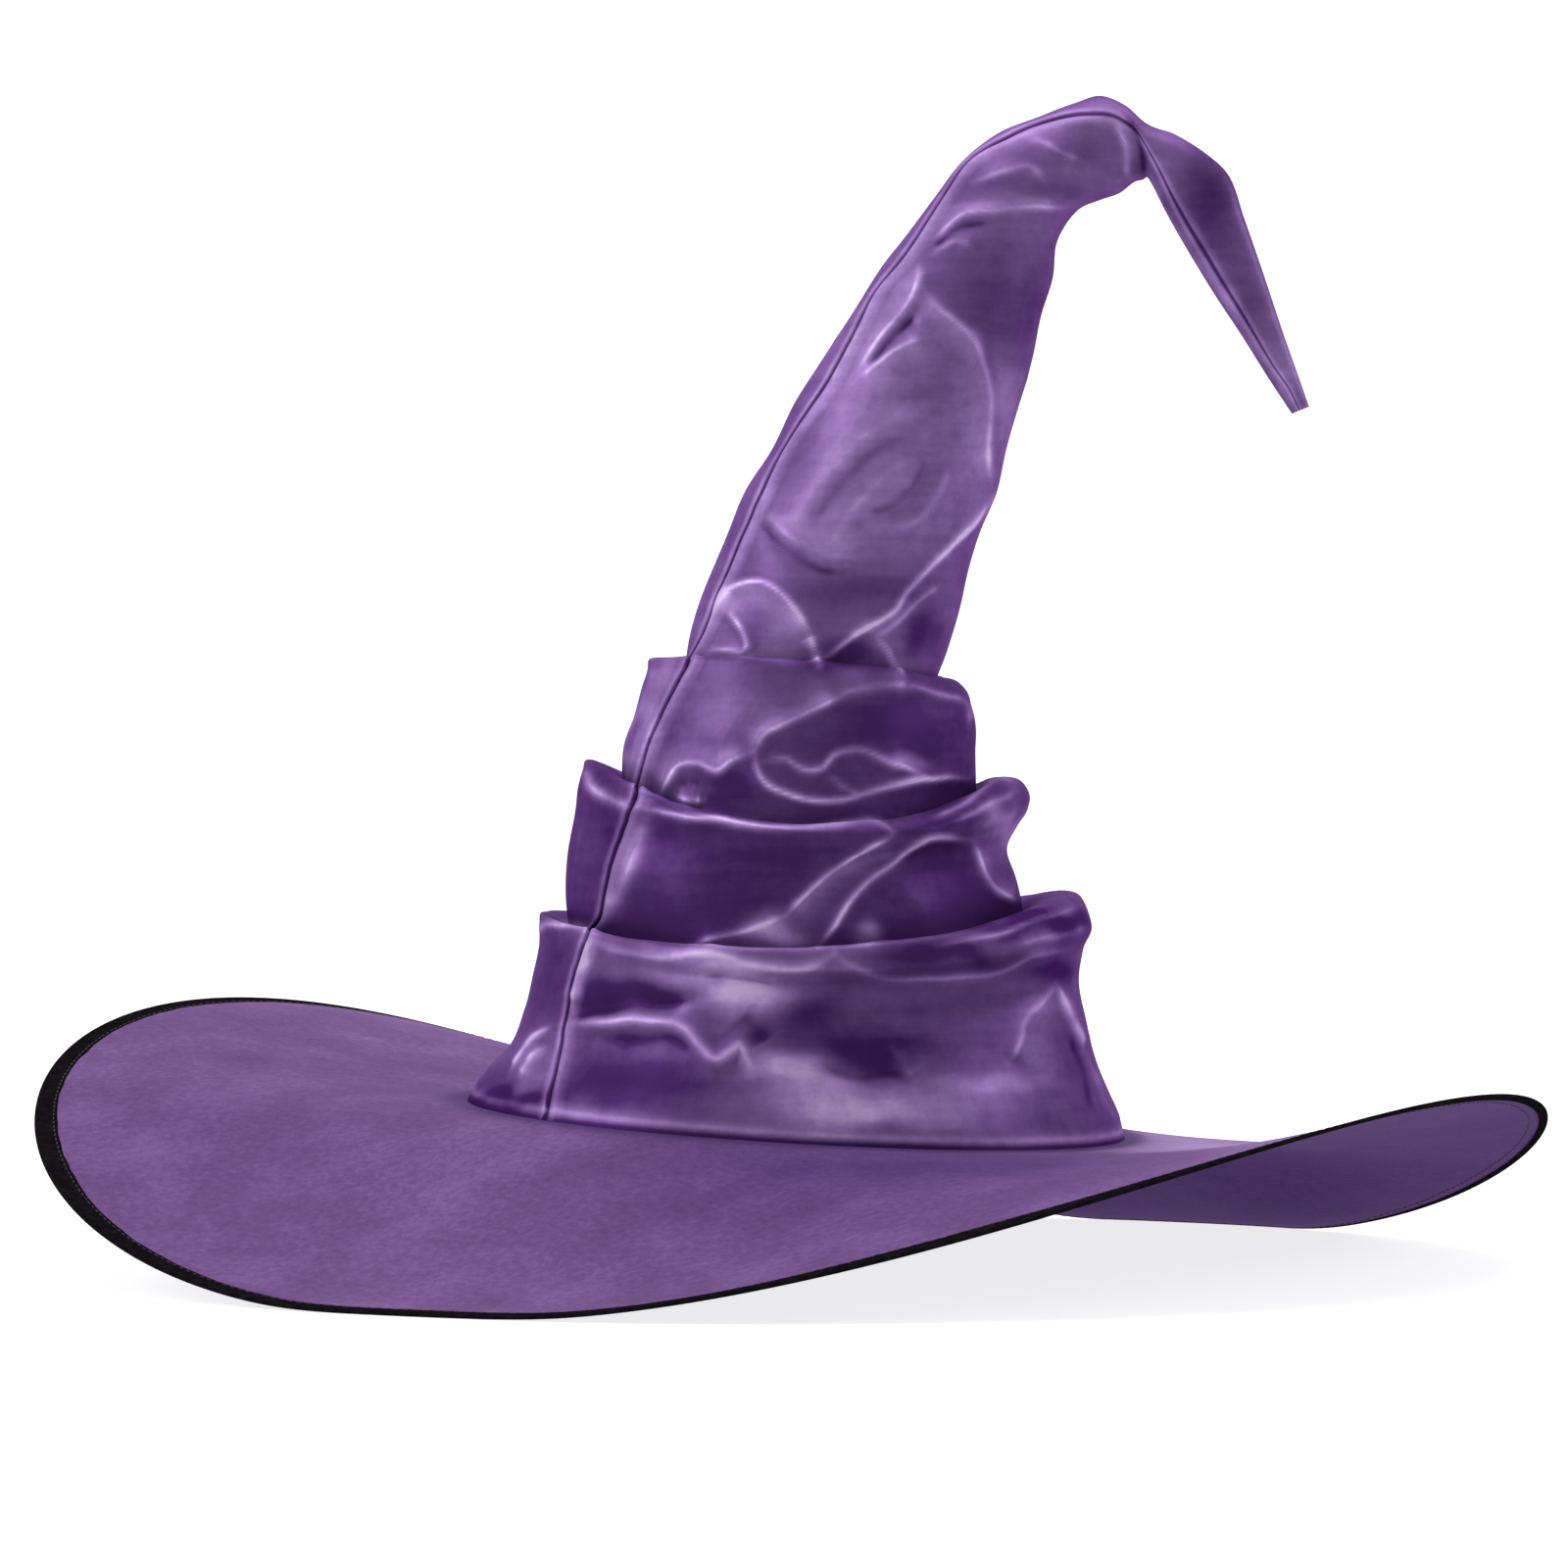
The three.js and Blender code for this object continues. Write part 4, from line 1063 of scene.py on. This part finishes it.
def brim_sheet_section():
    """The brim's cloth in section: (inward, rise) from the head opening out to inside the tape, and back."""
    inward = lerp(SHEET_OUTER, SHEET_INNER, np.linspace(0, 1, BRIM_BANDS) ** 0.9)  # a little closer near the edge
    top = [(value, 1.0) for value in inward[::-1]]
    under = [(value, -1.0) for value in inward]
    return top + under


def brim_tree(crown, brim, material):
    made = HatTree("Brim cloth")
    rule = BrimRule(made, crown, brim)
    half = made.size("Half thickness", brim.thickness / 2)
    seat_lift = made.size("Lift at the seat", 0.1 * MM)
    edge_drop = made.size("Drop at the edge", 1.3 * MM)
    ripple = made.size("Ripple", 0.5 * MM)
    # The hem's painted shadow on the brim: how far it reaches, as a share, and how dark it is
    hem_shadow = made.size("Shadow of the hem", 0.035)
    hem_darkness = made.size("Darkness by the hem", 0.8)
    swell_tone = made.size("Tone of the swell", 0.2)
    turned, inward, side = made.start_place()
    x, y, z, share = rule.place(turned, inward, 0)
    swell = made.uneven(made.vector(x, y, z), scale=24, detail=2)
    middle = seat_lift - (edge_drop + seat_lift) * share**3
    free = (4 * share).math("MINIMUM", 1) * (1 - share) * 2
    z = (z + middle + half * side + ripple * swell * free).at_least(0)
    # Lighter where the brim swells up, and painted highlights and painted shade at the brim's listed places
    tone = swell * swell_tone
    for _, right, back, half_width, half_depth, amount in BRIM_PAINTED_LIGHT:
        apart_x, apart_y = (x - right) / half_width, (y - back) / half_depth
        tone = tone + (-(apart_x * apart_x + apart_y * apart_y)).math("EXPONENT") * amount
    # The shade mark is all painted shade: the underside, the hem's shadow and the listed dark places
    hem_shade = (-(share * share) / hem_shadow**2).math("EXPONENT") * hem_darkness
    shade = (1 - side) / 2 + hem_shade + (-tone).at_least(0)
    # The values are kept before the points move, because they are worked out from where the points start.
    marked = made.mark(made.group_input.outputs["Geometry"], "shade", shade)
    marked = made.mark(marked, "glow", tone)
    made.finish(made.move(marked, made.vector(x, y, z)), made.material("Cloth", material))
    return made


def tape_section(tape):
    """The folded tape in section: (inward, rise), out over the top, round the edge and back underneath."""
    low, high, thick = -EDGE_HALF, TAPE_TOP, tape.thickness
    middle, half = (low + high) / 2, (high - low) / 2
    bend_end = half * 1.6
    nose = [(half * (1 - math.cos(a)), middle + half * math.sin(a)) for a in np.linspace(math.pi / 2, -math.pi / 2, 9)]
    small = half - thick
    hollow = [
        (half - small * math.cos(a), middle + small * math.sin(a)) for a in np.linspace(-math.pi / 2, math.pi / 2, 7)
    ]
    top = [(value, high) for value in np.linspace(tape.top_width, bend_end, 7)]
    under = [(value, low) for value in np.linspace(bend_end, tape.under_width, 4)]
    under_inside = [(value, low + thick) for value in np.linspace(tape.under_width, bend_end, 4)]
    top_inside = [(value, high - thick) for value in np.linspace(bend_end, tape.top_width, 7)]
    return top + nose + under + under_inside + hollow + top_inside


def tape_tree(crown, brim, tape, material):
    made = HatTree("Binding tape")
    rule = BrimRule(made, crown, brim)
    waver = made.size("Waver", tape.waver)
    width = made.size("Top width", tape.top_width)
    turned, inward, rise = made.start_place()
    wandering = made.uneven(made.vector(turned.cos(), turned.sin(), 0), scale=14, detail=3) * 2
    inward = inward + waver * wandering * (inward / width) ** 2 * 2
    x, y, z, _ = rule.place(turned, inward, rise)
    moved = made.move(made.group_input.outputs["Geometry"], made.vector(x, y, z))
    made.finish(moved, made.material("Cloth", material))
    return made


def stitch_tree(crown, brim, tape, rise, material):
    """One line of stitches all round, lying on the surface at a rise over the brim's middle."""
    made = HatTree("Stitches")
    rule = BrimRule(made, crown, brim)
    count = made.size("Count", tape.stitch_count)
    inward = made.size("Inward", tape.stitch_inward)
    lifted = made.size("Rise", rise)
    half_length = made.size("Half length", tape.stitch_length / 2)
    half_width = made.size("Half width of thread", tape.stitch_width / 2)
    seed = made.size("Seed", 7)
    points = made.node("GeometryNodePoints")
    made.link(count, points.inputs["Count"])
    index = Field(made.tree, made.node("GeometryNodeInputIndex").outputs[0])
    turned = (index + 0.5) / count * TURN

    def spot(turned_by, inward_by):
        return made.vector(*rule.place(turned + turned_by, inward + inward_by, lifted)[:3])

    nearby_turn, nearby = 0.004, 0.5 * MM  # to the places that show which way the surface runs here
    along = made.vector_math("SUBTRACT", spot(nearby_turn, 0), spot(-nearby_turn, 0))
    across = made.vector_math("SUBTRACT", spot(0, -nearby), spot(0, nearby))
    upright = made.vector_math("CROSS_PRODUCT", across, along)
    facing = made.node("FunctionNodeAxesToRotation", primary_axis="X", secondary_axis="Z")
    made.link(along, facing.inputs[0])
    made.link(upright, facing.inputs[1])
    bead = made.node("GeometryNodeMeshUVSphere")
    bead.inputs["Segments"].default_value = 6
    bead.inputs["Rings"].default_value = 5
    bead.inputs["Radius"].default_value = 1
    slant = made.node("FunctionNodeRandomValue", data_type="FLOAT")
    slant.inputs[2].default_value, slant.inputs[3].default_value = -0.08, 0.08  # radians off the line
    made.link(seed, slant.inputs["Seed"])
    tilt = made.vector(0, 0, Field(made.tree, slant.outputs[1]))
    turn = made.node("FunctionNodeEulerToRotation")
    made.link(tilt, turn.inputs[0])
    rotate = made.node("FunctionNodeRotateRotation", rotation_space="LOCAL")
    made.link(facing.outputs[0], rotate.inputs[0])
    made.link(turn.outputs[0], rotate.inputs[1])
    spread = made.node("GeometryNodeInstanceOnPoints")
    made.link(made.move(points.outputs[0], spot(0, 0)), spread.inputs["Points"])
    made.link(bead.outputs[0], spread.inputs["Instance"])
    made.link(rotate.outputs[0], spread.inputs["Rotation"])
    made.link(made.vector(half_length, half_width, half_width * 0.7), spread.inputs["Scale"])
    made.finish(spread.outputs[0], made.material("Thread", material))
    return made


# ---------------------------------------------------------------- finishes


class Finish(NodeMaker):
    """A procedural material on the Principled shader, built up node by node."""

    def __init__(self, name, roughness):
        self.material = bpy.data.materials.new(name)
        self.material.use_nodes = True
        self.tree = self.material.node_tree
        self.shader = self.tree.nodes["Principled BSDF"]
        self.set("Roughness", roughness)

    def set(self, name, value):
        self.shader.inputs[name].default_value = value

    def colour(self, socket):
        self.link(socket, self.shader.inputs["Base Color"])

    def attribute(self, name):
        return Field(self.tree, self.node("ShaderNodeAttribute", attribute_name=name).outputs["Fac"])

    def texture_noise(self, scale, detail=4.0, roughness=0.55, stretch=None):
        vector = self.node("ShaderNodeTexCoord").outputs["Object"]
        if stretch:
            mapping = self.node("ShaderNodeMapping")
            mapping.inputs["Scale"].default_value = stretch
            self.link(vector, mapping.inputs["Vector"])
            vector = mapping.outputs[0]
        node = self.node("ShaderNodeTexNoise")
        for name, value in (("Scale", scale), ("Detail", detail), ("Roughness", roughness)):
            node.inputs[name].default_value = value
        self.link(vector, node.inputs["Vector"])
        return Field(self.tree, node.outputs[0])

    def ramp(self, value, stops):
        node = self.node("ShaderNodeValToRGB")
        ramp = node.color_ramp
        while len(ramp.elements) < len(stops):
            ramp.elements.new(0.5)
        for element, (place, colour) in zip(ramp.elements, stops):
            element.position = place
            element.color = (*colour, 1)
        self.link(value, node.inputs[0])
        return node.outputs[0]

    def blend(self, share, first, second):
        """Colour first where share is 0, and second where it is 1."""
        node = self.node("ShaderNodeMix", data_type="RGBA")
        self.link(share, node.inputs["Factor"])
        for place, value in ((node.inputs[6], first), (node.inputs[7], second)):
            if isinstance(value, bpy.types.NodeSocket):
                self.link(value, place)
            else:
                place.default_value = (*value, 1)
        return node.outputs[2]

    def bump(self, height, strength, distance):
        node = self.node("ShaderNodeBump")
        node.inputs["Strength"].default_value = strength
        node.inputs["Distance"].default_value = distance
        self.link(height, node.inputs["Height"])
        target = self.shader.inputs["Normal"]
        if target.is_linked:
            self.link(target.links[0].from_socket, node.inputs["Normal"])
        self.link(node.outputs[0], target)


def times(factor, colour):
    return [factor * part for part in colour]


def crown_satin(crown):
    """Satin with painted shade where it lies flat and painted highlights along its folds, with a fine weave."""
    finish = Finish("crown_satin", 0.42)
    tone = finish.attribute("tone")
    mottle = finish.texture_noise(180, detail=5, roughness=0.65)
    brushed = finish.texture_noise(70, detail=5, roughness=0.6, stretch=(0.5, 0.5, 3.5))
    grain = mottle * 0.5 + brushed * 0.45 - 0.475
    level = tone + grain * (tone * 0.75 + 0.02)  # the grain shows most where the painted light is
    # deep and shade are painted shade, cloth the satin's own colour, shine and gleam painted highlights
    stops = ((0.0, crown.deep), (0.25, crown.shade), (0.5, crown.cloth), (0.75, crown.shine), (1.0, crown.gleam))
    finish.colour(finish.ramp(level, stops))
    finish.set("Metallic", 0.35)
    finish.set("Specular IOR Level", 0)
    finish.set("Specular Tint", (0.5, 0.3, 0.65, 1.0))
    finish.bump(finish.texture_noise(900, detail=2, roughness=0.5, stretch=(1, 1, 0.25)), 0.2, 0.2 * MM)
    finish.bump(finish.texture_noise(3200, detail=2), 0.15, 0.1 * MM)
    return finish.material


def brim_satin(brim):
    """Satin fused to a stiffening, so that it shows a fine mottled grain."""
    finish = Finish("brim_satin", 0.55)
    grain = finish.texture_noise(420, detail=6, roughness=0.65)
    cloudy = finish.texture_noise(35, detail=3, roughness=0.5)
    streaks = finish.texture_noise(40, detail=4, roughness=0.6, stretch=(1, 6, 1))
    level = grain * 0.55 + cloudy * 0.45
    cloth = finish.ramp(level, ((0.34, times(0.74, brim.cloth)), (0.5, brim.cloth), (0.66, brim.fleck)))
    # Painted highlight, broken into streaks
    top = finish.blend(finish.attribute("glow") * (streaks + 0.5), cloth, brim.glow)
    # Painted shade for the underside and by the hem, in the darker under colour
    shades = ((0.36, times(0.84, brim.under)), (0.5, brim.under), (0.64, times(1.16, brim.under)))
    finish.colour(finish.blend(finish.attribute("shade"), top, finish.ramp(level, shades)))
    finish.set("Metallic", 0.12)
    finish.set("Specular IOR Level", 0)
    finish.set("Sheen Weight", 0.12)
    finish.set("Sheen Roughness", 0.3)
    finish.set("Sheen Tint", (0.62, 0.42, 0.78, 1.0))
    finish.bump(grain, 0.35, 0.4 * MM)
    finish.bump(finish.texture_noise(2600, detail=2), 0.2, 0.1 * MM)
    return finish.material


def binding_tape(tape):
    """Black tape, a little worn."""
    finish = Finish("binding_tape", 0.7)
    worn = finish.texture_noise(300, detail=4, roughness=0.6)
    lighter = [c * 1.7 + 0.002 for c in tape.cloth]
    finish.colour(finish.ramp(worn, ((0.4, tape.cloth), (0.75, lighter))))
    finish.set("Specular IOR Level", 0)
    finish.bump(finish.texture_noise(1800, detail=2, roughness=0.5), 0.4, 0.3 * MM)
    return finish.material


def sewing_thread(name, colour):
    finish = Finish(name, 0.6)
    finish.set("Specular IOR Level", 0.2)
    twist = finish.texture_noise(5000, detail=2)
    finish.colour(finish.ramp(twist, ((0.35, times(0.6, colour)), (0.65, colour))))
    finish.bump(twist, 0.4, 0.1 * MM)
    return finish.material


# ---------------------------------------------------------------- operators


class SATINHAT_OT_crown(bpy.types.Operator):
    """Build the crown's crumpled satin shell"""

    bl_idname = "satin_hat.crown"
    bl_label = "Crown"

    def execute(self, context):
        hat = scene_hat(context)
        satin = crown_satin(hat.crown)
        for name, *shape in CROWN_PIECES:
            piece = new_piece(name, crown_mesh(hat.crown, hat.brim, name, *shape), satin)
            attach(piece, "root")
            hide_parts("crown")
        return {"FINISHED"}


class SATINHAT_OT_brim(bpy.types.Operator):
    """Build the brim's cloth"""

    bl_idname = "satin_hat.brim"
    bl_label = "Brim"

    def execute(self, context):
        hat = scene_hat(context)
        tree = brim_tree(hat.crown, hat.brim, brim_satin(hat.brim))
        flat = ring_of_sections("brim_flat", brim_sheet_section(), BRIM_HEADINGS)
        piece = new_piece("brim_cloth", tree.run_on("brim_cloth", flat))
        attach(piece, "root")
        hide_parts("brim")
        return {"FINISHED"}


class SATINHAT_OT_tape(bpy.types.Operator):
    """Build the tape that is folded over the brim's edge"""

    bl_idname = "satin_hat.tape"
    bl_label = "Binding tape"

    def execute(self, context):
        hat = scene_hat(context)
        tree = tape_tree(hat.crown, hat.brim, hat.tape, binding_tape(hat.tape))
        flat = ring_of_sections("tape_flat", tape_section(hat.tape), BRIM_HEADINGS)
        piece = new_piece("brim_tape", tree.run_on("brim_tape", flat))
        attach(piece, "root")
        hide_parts("brim_binding")
        return {"FINISHED"}


class SATINHAT_OT_stitches(bpy.types.Operator):
    """Sew the tape down with a line of stitches on top and one underneath"""

    bl_idname = "satin_hat.stitches"
    bl_label = "Stitches"

    def execute(self, context):
        hat = scene_hat(context)
        lines = (
            ("tape_stitches_top", TAPE_TOP, sewing_thread("thread_top", hat.tape.thread), "binding_tape"),
            ("tape_stitches_under", UNDER_STITCHES, sewing_thread("thread_under", hat.tape.under_thread), "brim_satin"),
        )
        for name, rise, thread, slot in lines:
            tree = stitch_tree(hat.crown, hat.brim, hat.tape, rise, thread)
            piece = new_piece(name, tree.run_on(name, bpy.data.meshes.new(name + "_start")))
            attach(piece, "root")
        return {"FINISHED"}


class SATINHAT_OT_stage(bpy.types.Operator):
    """Set up the pale floor, the soft light and the camera"""

    bl_idname = "satin_hat.stage"
    bl_label = "Stage"

    def execute(self, context):
        new_piece("studio_floor", floor_mesh(), paper_white())
        for light in LIGHTS:
            soft_light(*light)
        world = bpy.data.worlds.new("studio")
        world.use_nodes = True
        sky = world.node_tree.nodes["Background"]
        sky.inputs["Color"].default_value = (1, 1, 1, 1)
        sky.inputs["Strength"].default_value = 0.35
        context.scene.world = world
        context.scene.view_settings.view_transform = "Standard"
        context.scene.camera = picture_camera()
        return {"FINISHED"}


def picture_camera():
    data = bpy.data.cameras.new("camera")
    data.lens = CAMERA_LENS
    data.sensor_width = CAMERA_SENSOR
    data.clip_end = 50
    camera = bpy.data.objects.new("camera", data)
    camera.location = CAMERA_PLACE
    camera.rotation_euler = (math.pi / 2, 0, 0)
    bpy.context.scene.collection.objects.link(camera)
    return camera


def floor_mesh():
    """A floor that curves up into a backdrop far behind, a hair under the hat's lowest point."""
    half_width, near, bend, radius, top, drop = 9.0, -8.0, 2.2, 1.2, 8.0, 0.2 * MM
    profile = [(near, 0.0), (bend, 0.0)]
    for turned in np.linspace(0.05, math.pi / 2, 24):
        profile.append((bend + radius * math.sin(turned), radius * (1 - math.cos(turned))))
    profile.append((bend + radius, top))
    points = [(side * half_width, y, z - drop) for y, z in profile for side in (-1, 1)]
    faces = [(2 * i, 2 * i + 1, 2 * i + 3, 2 * i + 2) for i in range(len(profile) - 1)]
    mesh = bpy.data.meshes.new("studio_floor")
    mesh.from_pydata(points, [], faces)
    mesh.shade_smooth()
    return mesh


def paper_white():
    finish = Finish("paper_white", 0.9)
    faint = finish.texture_noise(3, detail=2)
    finish.colour(finish.ramp(faint, ((0.3, (0.32, 0.32, 0.32)), (0.7, (0.36, 0.36, 0.36)))))
    finish.set("Emission Color", (1, 1, 1, 1))
    finish.set("Emission Strength", 0.8)
    return finish.material


def soft_light(name, place, target, size, power):
    data = bpy.data.lights.new(name, "AREA")
    data.shape = "SQUARE"
    data.size = size
    data.energy = power
    light = bpy.data.objects.new(name, data)
    light.location = place
    light.rotation_euler = (Vector(target) - Vector(place)).to_track_quat("-Z", "Y").to_euler()
    bpy.context.scene.collection.objects.link(light)


# ---------------------------------------------------------------- panel and registration


class SATINHAT_PT_parts(bpy.types.Panel):
    """The hat's sizes, colours and pieces"""

    bl_label = "Satin Witch Hat"
    bl_space_type = "VIEW_3D"
    bl_region_type = "UI"
    bl_category = "Witch Hat"

    def draw(self, context):
        hat = scene_hat(context)
        for title, group, operators in (
            ("Crown", hat.crown, (SATINHAT_OT_crown,)),
            ("Brim", hat.brim, (SATINHAT_OT_brim,)),
            ("Tape", hat.tape, (SATINHAT_OT_tape, SATINHAT_OT_stitches)),
        ):
            box = self.layout.box()
            box.label(text=title)
            for name in group.__annotations__:
                box.prop(group, name)
            for operator in operators:
                box.operator(operator.bl_idname)
        self.layout.operator(SATINHAT_OT_stage.bl_idname)


CLASSES = (
    CrownProperties,
    BrimProperties,
    TapeProperties,
    HatProperties,
    SATINHAT_OT_crown,
    SATINHAT_OT_brim,
    SATINHAT_OT_tape,
    SATINHAT_OT_stitches,
    SATINHAT_OT_stage,
    SATINHAT_PT_parts,
)


def register():
    for cls in CLASSES:
        bpy.utils.register_class(cls)
    bpy.types.Scene.satin_hat = PointerProperty(type=HatProperties)


def unregister():
    del bpy.types.Scene.satin_hat
    for cls in reversed(CLASSES):
        bpy.utils.unregister_class(cls)


def main():
    register()
    bpy.ops.satin_hat.crown()
    bpy.ops.satin_hat.brim()
    bpy.ops.satin_hat.tape()
    bpy.ops.satin_hat.stitches()
    bpy.ops.satin_hat.stage()


if __name__ == "__main__":
    main()
